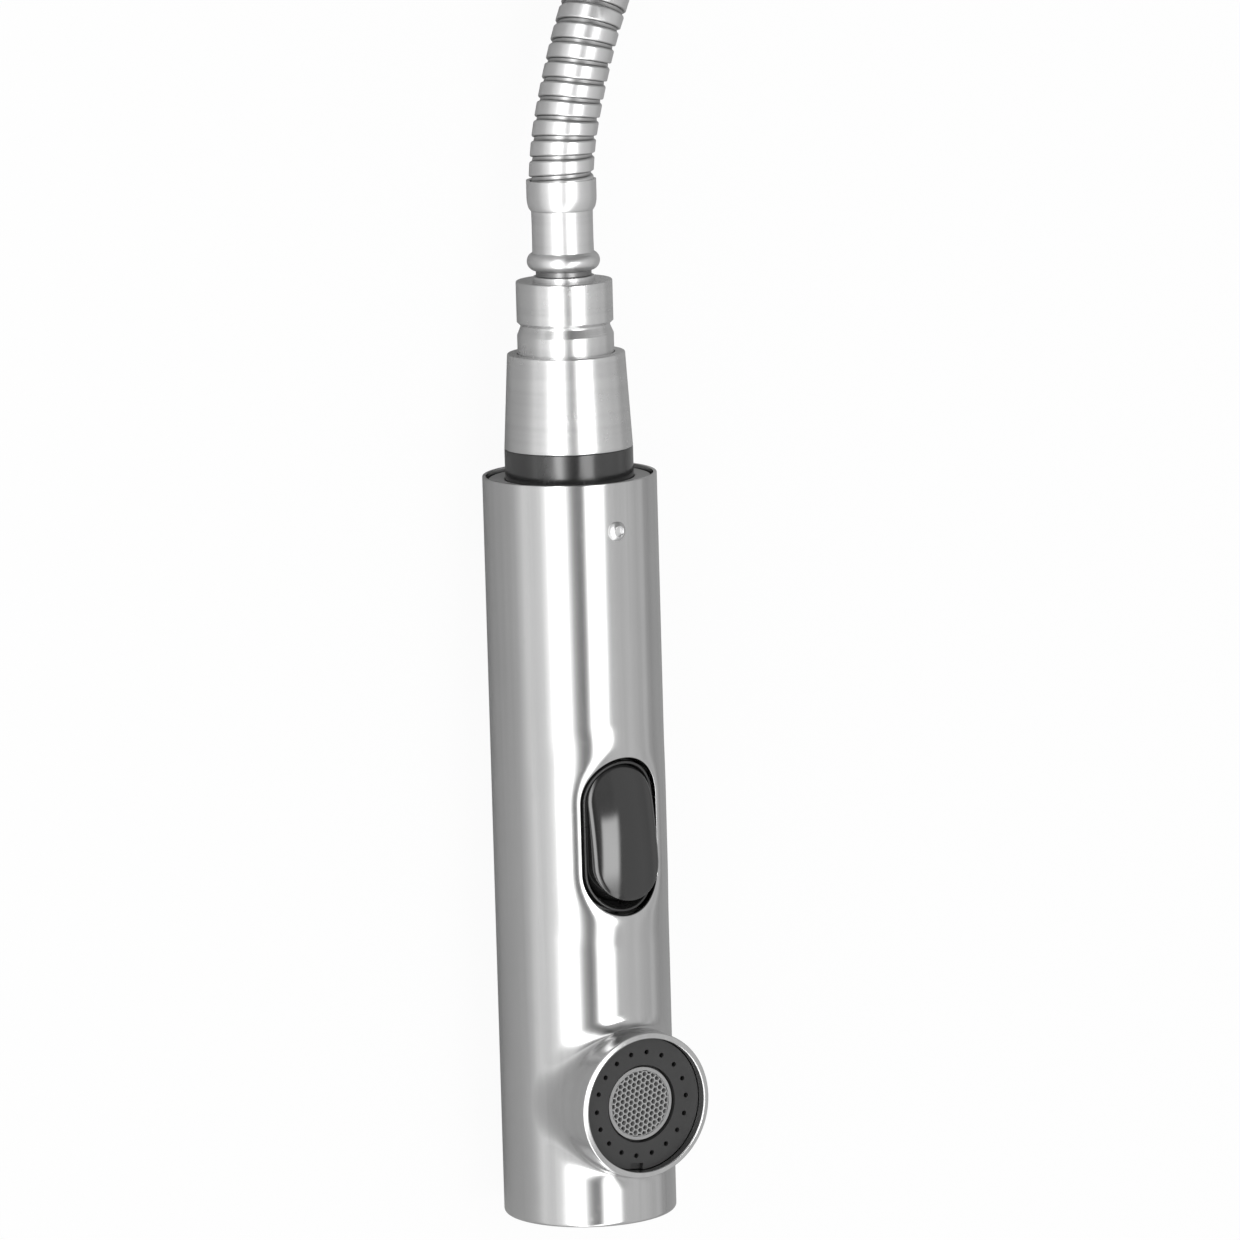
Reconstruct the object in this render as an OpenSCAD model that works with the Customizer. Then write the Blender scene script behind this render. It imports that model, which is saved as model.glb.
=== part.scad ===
// Handheld bath sprayer: a steel barrel with a side outlet and a rocker button,
// a swivel connector and 1.5 m of steel hose that ends in its supply nut.
// The barrel lies on its back along Y with the outlet facing +Z and the hose at +Y.

/* [Barrel] */
// Outside diameter of the steel barrel
barrel_d = 38; // [36:0.5:42]
// Wall of the barrel
barrel_wall = 0.8; // [0.6:0.1:1.2]
// Length of the barrel
barrel_len = 164; // [160:1:180]
// Thickness of the end cap's disc
cap_t = 1.2; // [0.8:0.1:2]
// Depth of the end cap's rim
cap_rim = 4; // [3:0.5:6]

/* [Outlet] */
// Distance of the outlet's centre from the closed end
outlet_at = 27.5; // [25:0.5:30]
// Outside diameter of the outlet collar
outlet_d = 32.2; // [31:0.1:33]
// Wall of the outlet collar
outlet_wall = 1.35; // [1:0.05:1.6]
// Height of the collar's rim over the barrel's axis
outlet_rise = 24.9; // [24:0.1:28]
// Depth of the spray face below the rim
face_recess = 2.3; // [1.5:0.1:3]
// Thickness of the spray face
face_t = 1.8; // [1.4:0.1:2.4]
// Number of spray nozzles
nozzle_count = 18; // [12:1:24]
// Diameter of a spray nozzle
nozzle_d = 1.1; // [0.8:0.1:1.4]
// Diameter of the circle of nozzles
nozzle_ring_d = 22.9; // [22:0.1:23.6]
// Outside diameter of the aerator
aerator_d = 16.1; // [15:0.1:16.6]
// Gap between the aerator and the spray face
aerator_gap = 0.55; // [0.3:0.05:0.8]
// Depth of the aerator below the spray face
aerator_recess = 0.5; // [0.2:0.1:1]
// Wall of the aerator's cup
aerator_wall = 0.7; // [0.5:0.1:1]
// Thickness of the honeycomb
comb_t = 3; // [2:0.5:4]
// Pitch of the honeycomb's cells
cell_pitch = 1.55; // [1.4:0.05:2]
// Web between two cells
cell_web = 0.45; // [0.3:0.05:0.6]
// Width of the service notch in the spray face
notch_w = 3.2; // [2:0.2:4]
// Depth of the service notch in the spray face
notch_deep = 1.5; // [1:0.1:1.8]

/* [Button] */
// Distance of the button's centre from the closed end
button_at = 86.2; // [85:0.2:90]
// Length of the rocker
rocker_len = 29.7; // [28:0.1:31]
// Width of the rocker
rocker_w = 16; // [14:0.2:17]
// Gap between the rocker's sides and the bezel
rocker_gap = 0.6; // [0.5:0.1:0.8]
// Gap between the rocker's ends and the bezel
rocker_end_gap = 1.35; // [1.3:0.05:1.8]
// Wall of the bezel
bezel_wall = 1.1; // [0.9:0.1:1.5]
// Depth of the bezel's top below the barrel's surface
bezel_inset = 0.4; // [0.1:0.1:1]
// Height of the rocker's pivot over the barrel's axis
pivot_rise = 12.2; // [11.6:0.1:12.4]
// Height of the rocker's crown over its pivot
crown_rise = 8.7; // [8.2:0.1:9.2]
// Radius of the crown across the rocker
crown_r = 21; // [18:1:40]
// Wall of the rocker's skirt
rocker_wall = 1.4; // [1.2:0.1:1.8]
// Tilt of the rocker in each of its two positions
rocker_tilt = 8.3; // [6:0.1:9]
// Diameter of the rocker's pin
pin_d = 2; // [1.6:0.1:2.4]

/* [Diverter] */
// Diameter of the sliding spool
spool_d = 7.9; // [7:0.1:8.4]
// Diameter of the spool's waists
spool_waist_d = 5.2; // [4.4:0.1:5.8]
// Height of the spool's axis over the barrel's axis
spool_rise = 2; // [1.6:0.1:2.4]
// Width of the valve block
block_w = 18; // [16:0.5:20]
// Thickness of the valve block's end flanges
flange_t = 3; // [2:0.5:4]
// Diameter of the water passages
passage_d = 4.4; // [3.6:0.2:4.8]

/* [Connector] */
// Diameter of the black neck
neck_d = 28; // [27:0.2:29]
// Length of the neck outside the barrel
neck_show = 5.8; // [5:0.2:8]
// Length of the conical sleeve
cone_len = 20.8; // [20:0.2:24]
// Diameter of the sleeve's small end
cone_small_d = 25.6; // [25.4:0.1:26.4]
// Diameter of the inlet thread, as a plain cylinder
thread_d = 20.7; // [20:0.1:20.9]
// Outside diameter of the nut
nut_d = 21; // [20.6:0.1:21.2]
// Length of the nut past the sleeve
nut_len = 15.8; // [15:0.2:20]
// Depth of the nut's grip groove
groove_deep = 0.75; // [0.4:0.05:1]
// Depth of the end disc below the barrel's rim
disc_set = 0.8; // [0.4:0.1:2]
// Thickness of the end disc
disc_t = 2.4; // [2:0.1:3]
// Length of the inlet body's collar inside the barrel
collar_len = 14; // [12:0.5:18]
// Distance of the retaining screw from the barrel's open end
screw_in = 10.6; // [10:0.2:14]
// Diameter of the retaining screw's head
screw_head_d = 4.3; // [4:0.1:5]
// Diameter of the retaining screw's shank
screw_d = 2.8; // [2.4:0.1:3]
// Diameter of the check valve's poppet
poppet_d = 9.8; // [9:0.1:10.2]
// Diameter of the poppet's stem
stem_d = 2.5; // [2:0.1:3]
// Wire of the check valve's spring
wire_d = 0.6; // [0.4:0.05:0.8]

/* [Hose ends] */
// Diameter of the fitting's journal
journal_d = 13.4; // [13:0.1:13.8]
// Diameter of the fitting's bead
bead_d = 15.8; // [15:0.1:16.6]
// Diameter of the fitting's flange inside a nut
tail_flange_d = 17; // [16.4:0.1:17.2]
// Diameter of the crimped ferrule
ferrule_d = 15.2; // [15.2:0.1:16.6]
// Length of the crimped ferrule
ferrule_len = 6.8; // [6:0.2:9]
// Diameter of the fitting's barb in the hose
barb_d = 8.2; // [7.6:0.1:8.4]
// Length of the fitting's barb
barb_len = 7; // [6:1:14]
// Bore of the water way through the fittings
water_d = 6.6; // [5.6:0.2:6.8]
// Outside diameter of the supply nut
supply_d = 26; // [25.6:0.2:30]
// Length of the supply nut
supply_len = 16; // [15:0.5:20]
// Diameter of the supply nut's threaded hole
supply_thread_d = 21; // [20.6:0.1:22]

/* [Hose] */
// Outside diameter of the hose
hose_d = 14.1; // [13.6:0.1:14.2]
// Bore of the hose
hose_bore_d = 9.6; // [9.4:0.1:10]
// Spacing of the hose's ribs
rib_pitch = 4.08; // [3.6:0.04:5]
// Depth of the grooves between the ribs
rib_deep = 0.55; // [0.3:0.05:0.8]
// Radius of the stored hank's folds, to the middle of the hose
fold_r = 42.5; // [42.3:0.1:46]
// Length of the hank's straight runs
hank_run = 115; // [100:0.5:130]
// Height between two turns of the hank
hank_layer = 14.8; // [14.7:0.1:16]
// Width of the strap round the hank
tie_w = 12; // [8:1:16]
// Thickness of the strap
tie_t = 0.7; // [0.5:0.1:0.8]

/* [Fits] */
// Radial running clearance of what turns or slides
run_gap = 0.05; // [0.03:0.01:0.08]
// Clearance of what is assembled and then stays
seat_gap = 0.15; // [0.1:0.01:0.2]
// Clearance between pieces that only face each other
air_gap = 0.3; // [0.25:0.05:0.4]

/* [Hidden] */
$fn = 64;
tiny = 0.01;
over = 1;
nozzle_turn = 1.6;
notch_turn = -7;

// ---------------------------------------------------------------- levels along the barrel
barrel_r = barrel_d / 2;
barrel_ri = barrel_r - barrel_wall;
neck_at = barrel_len + neck_show;
cone_end = neck_at + cone_len;
nut_end = cone_end + nut_len;
closed_y = -nut_end / 2;
axis_h = barrel_r;
core_r = barrel_ri - air_gap;
cap_r = barrel_ri - run_gap;
cap_wall = 1;

// small gaps and the thickness that the flat seals share
stack_gap = 0.1;
seal_gap = 0.05;
seal_t = 1.05;

// the outlet's own levels, from the barrel's axis
outlet_r = outlet_d / 2;
outlet_ri = outlet_r - outlet_wall;
spray_r = outlet_ri - seat_gap;
face_top = outlet_rise - face_recess;
face_low = face_top - face_t;
face_seal_w = 0.7;
notch_down = 1.1;
aerator_r = aerator_d / 2;
aerator_ri = aerator_r - aerator_wall;
port_r = aerator_r + seat_gap;
opening_r = aerator_r + aerator_gap;
comb_top = face_top - aerator_recess;
comb_low = comb_top - comb_t;
cup_depth = 6;
cup_floor = 1;
cup_lip = 1.5;
cup_low = comb_low - cup_depth;
port_low = cup_low - seal_t - seal_gap;
screen_r = aerator_ri - stack_gap;
screen_t = 0.4;
screen_step = 1.95;
screen_web = 0.3;
screen_rim = 0.6;
feed_r = 5.5;
feed_floor = 3;
spray_low = -8;
ring_wall = 1.4;
ring_in = port_r + ring_wall;
ring_out = spray_r - 1.6;
ring_low = 8;

// the button's outlines, as half lengths and half widths
bezel_in_l = rocker_len / 2 + rocker_end_gap;
bezel_in_w = rocker_w / 2 + rocker_gap;
bezel_l = bezel_in_l + bezel_wall;
bezel_w = bezel_in_w + bezel_wall;
window_l = bezel_l + seat_gap;
window_w = bezel_w + seat_gap;

// the rocker, from its pivot
lever_w = 2.5;
lever_t = 1;
lever_r = 1.5;
web_t = 1.6;
web_gap = 2.5;
roof_t = 3;
skirt_low = 1;
boss_wall = 1.5;
boss_set = 0.5;
pin_set = 0.2;
pin_gap = 0.02;

// the valve block
foot_gap = 6.2;
block_top = pivot_rise - foot_gap;
block_low = -9;
block_gap = 4;
valve_at = outlet_at + spray_r + block_gap;
block_step = button_at - bezel_l - 3 * air_gap;
flange_past = 2.9;
valve_end = button_at + window_l + flange_past + flange_t;
high_top = 14.5;
bridge_gap = 0.5;
spool_r = spool_d / 2;
lever_rise = pivot_rise - spool_rise;
lever_y = button_at - lever_rise * sin(rocker_tilt);
spool_travel = 2 * lever_rise * sin(rocker_tilt);
spool_set = 3.9;
spool_from = valve_at + spool_set;
front_land = 4;
waist_len = 11;
back_land = 5;
lever_head = 8;
lever_neck = 6;
spool_to = lever_y + lever_head;
bore_gap = 1;
bore_to = spool_to + spool_travel + bore_gap;
ring_rise = 11;
gallery_rise = -4.5;
waist_from = spool_from + front_land;
waist_to = waist_from + waist_len;
land_to = waist_to + back_land;
stream_port = waist_from + spool_travel / 2;
spray_port = waist_to + spool_travel / 2;
supply_port = (waist_from + spool_travel + waist_to) / 2;
port_d = 2.6;
port_end = 0.5;
transfer_r = passage_d / 2;
transfer_wall = 0.85;
transfer_seal_r = transfer_r + stack_gap + transfer_wall;
spool_slot = lever_r + air_gap / 2;
slot_depth = 2.2;
flat_depth = 1.8;
flat_l = 1.6;
room_w = 3.2;
room_front = 1.6;
room_back = 2.2;
spool_groove = 1.2;
spool_groove_in = 1;
spool_groove_at = [spool_from + 1.4, land_to - 2.6];

// the inlet body and what is stacked on it
screw_at = barrel_len - screw_in;
screw_len = 10;
screw_dome = 1.4;
screw_key_d = 2.2;
screw_key_at = 0.5;
disc_top = barrel_len - disc_set;
disc_low = disc_top - disc_t;
collar_end = disc_low - seat_gap;
collar_at = collar_end - collar_len;
rim_seal_w = 0.45;
rim_seal_t = 1.35;
thread_r = thread_d / 2;
neck_r = neck_d / 2;
inlet_front = valve_end + stack_gap;
inlet_bore_r = 4.6;
inlet_pipe_r = inlet_bore_r + 2.4;
plenum_r = transfer_r - gallery_rise + 0.5;
plenum_t = 2.2;
body_seal_ri = plenum_r + 0.8;
body_seal_r = body_seal_ri + 1.4;
inlet_front_r = body_seal_r + 0.6;
inlet_front_t = 4;
cone_lip = 1.8;
skirt_end = cone_end - cone_lip;
nut_shelf = 0.4;
nut_cavity_at = skirt_end - nut_shelf;
hose_washer_t = 1.6;
hose_washer_ri = 5.2;
hose_washer_at = nut_cavity_at - stack_gap - hose_washer_t;
strainer_t = 0.5;
strainer_pitch = 1;
strainer_hole = 0.7;
strainer_at = hose_washer_at - stack_gap - strainer_t;
spigot_end = strainer_at - stack_gap;
shoulder_set = 1.7;
shoulder_at = neck_at - shoulder_set;
stem_r = stem_d / 2;
stem_proud = 1.6;
cage_r = 7;
cage_wall = 1.25;
cage_at = shoulder_at;
cage_end = spigot_end - 4 * stack_gap;
cage_hole_d = 2;
cage_hole_at = 3.4;
spider_t = 1.6;
seat_t = 1.6;
seat_lip = 1;
poppet_top = cage_end - seat_t - stack_gap;
poppet_t = 1.8;
spring_gap = 0.75;
spring_turns = 6;

// the nut and the swivel
nut_r = nut_d / 2;
nut_skirt_ri = thread_r + seat_gap;
nut_skirt_r = nut_skirt_ri + 1.4;
skirt_at = neck_at + 2.2;
cone_bore_r = nut_skirt_r + seat_gap;
edge_r = 0.4;
cone_edge = 0.2;
nut_land = 4;
groove_slope = 1.8;
groove_w = 0.4;
groove_rise = 0.7;
tail_flange_r = tail_flange_d / 2;
cavity_r = tail_flange_r + air_gap;
journal_r = journal_d / 2;
swivel_bore_r = journal_r + run_gap;
cavity_len = 8.2;
cavity_end = nut_cavity_at + cavity_len;
tail_at = nut_cavity_at + stack_gap;
tail_nose_t = 2;
tail_nose_set = 0.5;
bead_r = bead_d / 2;
bead_len = 4.4;
bead_gap = 1.9;
bead_at = nut_end + bead_gap;
journal_show = 8.9;
ferrule_at = bead_at + bead_len + journal_show;
ferrule_seat = 1.2;
shoulder_r = 2;
hose_seat = ferrule_at + ferrule_seat;
hose_r = hose_d / 2;
hose_cup_r = hose_r + stack_gap;
o_ring_in = 6;
o_ring_at = nut_end - o_ring_in;
o_ring_t = 1.6;
o_ring_r = journal_r - 0.25;
o_ring_ri = o_ring_r - 1;

// the supply end, past the hose's far end
supply_r = supply_d / 2;
far_neck = 2.7;
supply_at = ferrule_seat + far_neck;
supply_floor = 4;
far_gap = 0.2;
far_flange_t = 2.2;
supply_flange = supply_at + supply_floor + far_gap;
supply_seat = supply_flange + far_flange_t;
supply_washer_t = 2;
supply_washer_r = supply_thread_d / 2 + far_gap;
supply_washer_ri = water_d / 2 + 1;
flute_count = 20;
flute_r = 0.9;
flute_out = 0.35;
flute_set = 3;

// ---------------------------------------------------------------- the hose's route
// Points where the hose lies free, from the crimped ferrule to the coil's first turn.
lead_points = [
    [0, closed_y + hose_seat, axis_h],
    [0, closed_y + hose_seat + ferrule_len - ferrule_seat, axis_h],
    [0.8, 132.7, 19],
    [1.85, 137.9, 19],
    [3.17, 143.1, 19],
    [4.65, 148.3, 19],
    [6.36, 153.5, 18.9],
    [8.5, 158.7, 18.5],
    [11.2, 163.9, 17.7],
    [17.2, 174.5, 14.9],
    [23.2, 185, 11.8],
    [28.8, 194.8, 9.3],
    [33.2, 203.5, 8.3],
    [37.05, 213.6, 8.1],
    [39.85, 224, 8.1],
    [41.55, 234.6, 8.1],
    [42.1, 245.4, 8.1],
    [42.1, 253.4, 8.1]
];

// The hank lies in line with the barrel: two and a half turns on each other, each with
// two straight runs and two folds. It is counted in steps: one for the first run, ten
// for the far fold, three for the run back and ten for the near fold. On the way back
// a turn climbs on top of itself, and the climb ends half way round the near fold.
lead_end = lead_points[len(lead_points) - 1];
hank_low = lead_end[2];
hank_x = lead_end[0] - fold_r;
end_len = 8;
near_y = lead_end[1] - end_len;
far_y = near_y + hank_run;
fold_steps = 10;
back_steps = 3;
fold_turn = 180 / fold_steps;
back_at = 1 + fold_steps;
near_at = back_at + back_steps;
loop_rings = near_at + fold_steps;
hank_rings = 2 * loop_rings + back_at;
climb_len = hank_run + fold_r * PI / 2;
hank_top = hank_low + 2 * hank_layer;
coil_sides = 6;
hose_sides = 8;

function fold_point(y, a) = [hank_x + fold_r * cos(a), y + fold_r * sin(a)];
function run_point(x, y) = [hank_x + x, y];
function loop_plan(k) =
    k < 1 ? run_point(fold_r, near_y + hank_run * k)
    : k < back_at ? fold_point(far_y, fold_turn * (k - 1))
    : k < near_at ? run_point(-fold_r, far_y - hank_run * (k - back_at) / back_steps)
    : fold_point(near_y, 180 + fold_turn * (k - near_at));
function climb_done(k) =
    k < near_at ? hank_run * (k - back_at) / back_steps
    : hank_run + fold_r * (k - near_at) * fold_turn * PI / 180;
function climb(k) = (1 - cos(180 * min(max(climb_done(k) / climb_len, 0), 1))) / 2;
function hank_point(i) =
    let (turn = floor(i / loop_rings), k = i - turn * loop_rings, at = loop_plan(k))
    [at[0], at[1], hank_low + hank_layer * (turn + climb(k))];
coil_finish = [hank_x - fold_r, far_y - end_len, hank_top];
coil_path = concat(
    [hank_point(end_len / hank_run)],
    [for (i = [1:hank_rings]) hank_point(i)],
    [coil_finish]
);

// From the hank the hose runs back on top of it, and its end with the supply nut lies
// on the near fold: distance past the hank, height over its top turn.
tail_turn = 180;
tail_rise = [
    [0, 0], [8, 0.1], [20, 1], [32, 3.3], [44, 7], [54, 11.1], [66, 15], [78, 17.5],
    [90, 18.5], [97, 18.5], [104, 18.5], [111, 18.5]
];
function heading(a) = [-sin(a), cos(a), 0];
tail_points = [
    for (d = tail_rise)
        coil_finish + d[0] * heading(tail_turn) + [0, 0, d[1]]
];
far_at = tail_points[len(tail_points) - 1];

// ---------------------------------------------------------------- sweeping a tube
function curve(a, b, c, d, t) =
    b + t * (c - a) / 2 + t * t * (a - 2.5 * b + 2 * c - d / 2)
    + t * t * t * (1.5 * (b - c) + (d - a) / 2);
function on_route(p, s) =
    let (n = len(p) - 1, i = min(floor(s), n - 1), t = s - i)
    let (a = i > 0 ? p[i - 1] : 2 * p[0] - p[1], d = i < n - 1 ? p[i + 2] : 2 * p[n] - p[n - 1])
    curve(a, p[i], p[i + 1], d, t);
function route(p, steps) = [
    for (i = [0:(len(p) - 1) * steps]) on_route(p, i / steps)
];
function run_length(p, i = 1) = i < len(p) ? norm(p[i] - p[i - 1]) + run_length(p, i + 1) : 0;
function sums(p) = [for (i = 0, s = 0; i < len(p);
    s = s + (i < len(p) - 1 ? norm(p[i + 1] - p[i]) : 0), i = i + 1) s];
function at_length(p, l, s, i = 0) =
    i >= len(p) - 2 || s[i + 1] >= l
        ? p[i] + (p[i + 1] - p[i]) * (l - s[i]) / (s[i + 1] - s[i])
        : at_length(p, l, s, i + 1);
function evenly(p, count) =
    let (s = sums(p), total = s[len(s) - 1])
    [for (i = [0:count]) at_length(p, total * i / count, s)];
function unit(v) = v / norm(v);
function tangent(p, i) = unit(p[min(i + 1, len(p) - 1)] - p[max(i - 1, 0)]);
function ring(p, i, r, sides) =
    let (t = tangent(p, i), side = unit(cross(t, [0, 0, 1])), up = cross(side, t))
    [for (k = [0:sides - 1])
        p[i] + r * (cos(360 * k / sides) * side + sin(360 * k / sides) * up)];
function wall_faces(rings, sides, first, turn) = [
    for (i = [0:rings - 2], k = [0:sides - 1], half = [0, 1])
        let (a = first + i * sides + k, b = first + i * sides + (k + 1) % sides,
             c = b + sides, d = a + sides,
             f = half == 0 ? [a, b, c] : [a, c, d])
        turn ? [f[2], f[1], f[0]] : f
];
function lid(first, sides, turn) = [
    for (k = [1:sides - 2])
        turn ? [first, first + k + 1, first + k] : [first, first + k, first + k + 1]
];
function ring_lid(outer, inner, sides, turn) = [
    for (k = [0:sides - 1], half = [0, 1])
        let (k2 = (k + 1) % sides,
             f = half == 0 ? [outer + k, outer + k2, inner + k2] : [outer + k, inner + k2, inner + k])
        turn ? [f[2], f[1], f[0]] : f
];

// A solid tube along a path.
module solid_tube(path, r, sides) {
    n = len(path);
    points = [for (i = [0:n - 1]) each ring(path, i, r, sides)];
    polyhedron(points, concat(
        wall_faces(n, sides, 0, false),
        lid(0, sides, true),
        lid((n - 1) * sides, sides, false)
    ));
}

// A ribbed tube with a bore: crests and grooves take turns along the path.
module ribbed_tube(points_list, sides) {
    fine = route(points_list, 8);
    ribs = round(run_length(fine) / rib_pitch);
    outer = evenly(fine, 2 * ribs);
    inner = evenly(fine, ribs);
    n = len(outer);
    m = len(inner);
    bore_r = hose_bore_d / 2;
    points = concat(
        [for (i = [0:n - 1]) each ring(outer, i, i % 2 == 1 ? hose_r : hose_r - rib_deep, sides)],
        [for (i = [0:m - 1]) each ring(inner, i, bore_r, sides)]
    );
    polyhedron(points, concat(
        wall_faces(n, sides, 0, false),
        wall_faces(m, sides, n * sides, true),
        ring_lid(0, n * sides, sides, true),
        ring_lid((n - 1) * sides, (n + m - 1) * sides, sides, false)
    ));
}

// Least gap between two stretches of the hank, measured on points four to a step.
function coil_gap() =
    let (fine = 4, n = hank_rings * fine, p = [for (i = [0:n]) hank_point(i / fine)])
    min([for (i = [0:n], j = [i:n]) if (j > i + back_at * fine) norm(p[i] - p[j])]) - hose_d;
hose_length = run_length(route(lead_points, 8)) + run_length(coil_path)
    + run_length(route(tail_points, 8));
echo(coil_least_gap = coil_gap(), hose_length = hose_length);

// ---------------------------------------------------------------- shared shapes
// Places a child whose own +Z runs along the barrel, at a distance from the closed end.
module along(t) {
    translate([0, closed_y + t, axis_h])
        rotate([-90, 0, 0])
            children();
}

// Places a child at a distance from the closed end with its own +Z towards the outlet side.
module facing(t) {
    translate([0, closed_y + t, axis_h])
        children();
}

// Places a child whose own +Z leaves the hose's far end, at a distance past it.
module far(t) {
    translate(far_at + t * heading(tail_turn))
        rotate([0, 90, tail_turn + 90])
            children();
}

module bar(r, from, to) {
    translate([0, 0, from])
        cylinder(r = r, h = to - from);
}

module ring_bar(r, ri, from, to) {
    difference() {
        bar(r, from, to);
        bar(ri, from - over, to + over);
    }
}

// A flat outline with round ends: half length along Y, half width along X.
module slot_outline(l, w) {
    square([2 * w, 2 * (l - w)], center = true);
    for (side = [-1, 1])
        translate([0, side * (l - w)])
            circle(r = w);
}

module slot_bar(l, w, from, to) {
    translate([0, 0, from])
        linear_extrude(to - from)
            slot_outline(l, w);
}

// A block given by its low and high corners.
module block(low, high) {
    translate(low)
        cube(high - low);
}

// A helical spring along +Z.
module coil_spring(r, wire_r, from, to, turns) {
    rings = 8 * turns;
    path = [for (i = [0:rings])
        [r * cos(360 * turns * i / rings), r * sin(360 * turns * i / rings),
         from + (to - from) * i / rings]];
    solid_tube(path, wire_r, 6);
}

// ---------------------------------------------------------------- barrel
module barrel_skin() {
    edge = barrel_wall;
    rotate_extrude()
        difference() {
            square([barrel_r, barrel_len]);
            difference() {
                translate([barrel_r - edge, -over])
                    square([edge + over, edge + over]);
                translate([barrel_r - edge, edge])
                    circle(r = edge);
            }
        }
}

module outer_tube() {
    color("silver")
    difference() {
        union() {
            along(0)
                barrel_skin();
            facing(outlet_at)
                bar(outlet_r, 0, outlet_rise);
        }
        along(0)
            bar(barrel_ri, -over, barrel_len + over);
        facing(outlet_at)
            bar(outlet_ri, 0, outlet_rise + over);
        facing(button_at)
            slot_bar(window_l, window_w, 0, barrel_r + over);
        facing(screw_at)
            bar(screw_d / 2 + seat_gap, 0, barrel_r + over);
    }
}

module base_cap() {
    color("lightgray")
        along(0) {
            bar(cap_r, 0, cap_t);
            ring_bar(cap_r, cap_r - cap_wall, 0, cap_t + cap_rim);
        }
}

// ---------------------------------------------------------------- outlet
module spray_body() {
    color("dimgray")
    difference() {
        union() {
            facing(outlet_at)
                bar(spray_r, spray_low, face_low);
            facing(outlet_at)
                block([-block_w / 2, 0, spray_low],
                    [block_w / 2, valve_at - outlet_at, high_top - bridge_gap]);
        }
        facing(outlet_at) {
            bar(port_r, port_low, face_low + over);
            bar(feed_r, spray_low + feed_floor, port_low + tiny);
            ring_bar(ring_out, ring_in, ring_low, face_low + over);
            // seat of the seal under the face
            ring_bar(spray_r + over, spray_r - face_seal_w - 2 * seal_gap,
                face_low - seal_t - 3 * seal_gap, face_low + over);
        }
        facing(outlet_at)
            translate([0, 0, ring_rise])
                rotate([-90, 0, 0])
                    bar(transfer_r, ring_in + over, valve_at - outlet_at + over);
        facing(outlet_at)
            translate([0, 0, gallery_rise])
                rotate([-90, 0, 0])
                    bar(transfer_r, 0, valve_at - outlet_at + over);
    }
}

module face_seal() {
    color("black")
        facing(outlet_at)
            ring_bar(spray_r - seal_gap, spray_r - seal_gap - face_seal_w,
                face_low - seal_gap - seal_t, face_low - seal_gap);
}

module spray_face() {
    notch_at = spray_r - notch_deep;
    color("#333333")
        facing(outlet_at)
            difference() {
                ring_bar(spray_r, opening_r, face_low, face_top);
                for (i = [0:nozzle_count - 1])
                    rotate(360 * i / nozzle_count + nozzle_turn)
                        translate([nozzle_ring_d / 2, 0, face_low - over])
                            cylinder(d = nozzle_d, h = face_t + 2 * over, $fn = 24);
                rotate(notch_turn)
                    block([-notch_w / 2, -spray_r - over, face_top - notch_down],
                        [notch_w / 2, -notch_at, face_top + over]);
            }
}

module aerator_washer() {
    color("black")
        facing(outlet_at)
            ring_bar(aerator_r - seal_gap, feed_r, port_low, cup_low - seal_gap);
}

module aerator_housing() {
    color("gray")
        facing(outlet_at)
            difference() {
                bar(aerator_r, cup_low, comb_top);
                bar(aerator_ri, cup_low + cup_floor, comb_top + over);
                bar(aerator_ri - cup_lip, cup_low - over, cup_low + cup_floor + tiny);
            }
}

// Two fine screens that rest in the aerator's cup.
module aerator_screens() {
    count = 6;
    pitch = (screen_r - screen_rim) / count;
    color("gainsboro")
        facing(outlet_at)
            for (step = [0, screen_step])
                translate([0, 0, cup_low + cup_floor + seal_gap + step])
                    linear_extrude(screen_t)
                        difference() {
                            circle(r = screen_r);
                            for (i = [-count:count], j = [-count:count])
                                if (norm([i, j]) < count - 0.4)
                                    translate([i, j] * pitch)
                                        square(pitch - 1.4 * screen_web, center = true);
                        }
}

module aerator_honeycomb() {
    rows = ceil(screen_r / cell_pitch) + 1;
    color("darkgray")
        facing(outlet_at)
            translate([0, 0, comb_low])
                linear_extrude(comb_t)
                    difference() {
                        circle(r = screen_r);
                        for (i = [-rows:rows], j = [-rows:rows])
                            let (x = cell_pitch * (i + j / 2), y = cell_pitch * j * sin(60))
                                if (norm([x, y]) < screen_r - cell_pitch / 2)
                                    translate([x, y])
                                        rotate(30)
                                            circle(d = (cell_pitch - cell_web) / cos(30), $fn = 6);
                    }
}

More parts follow.
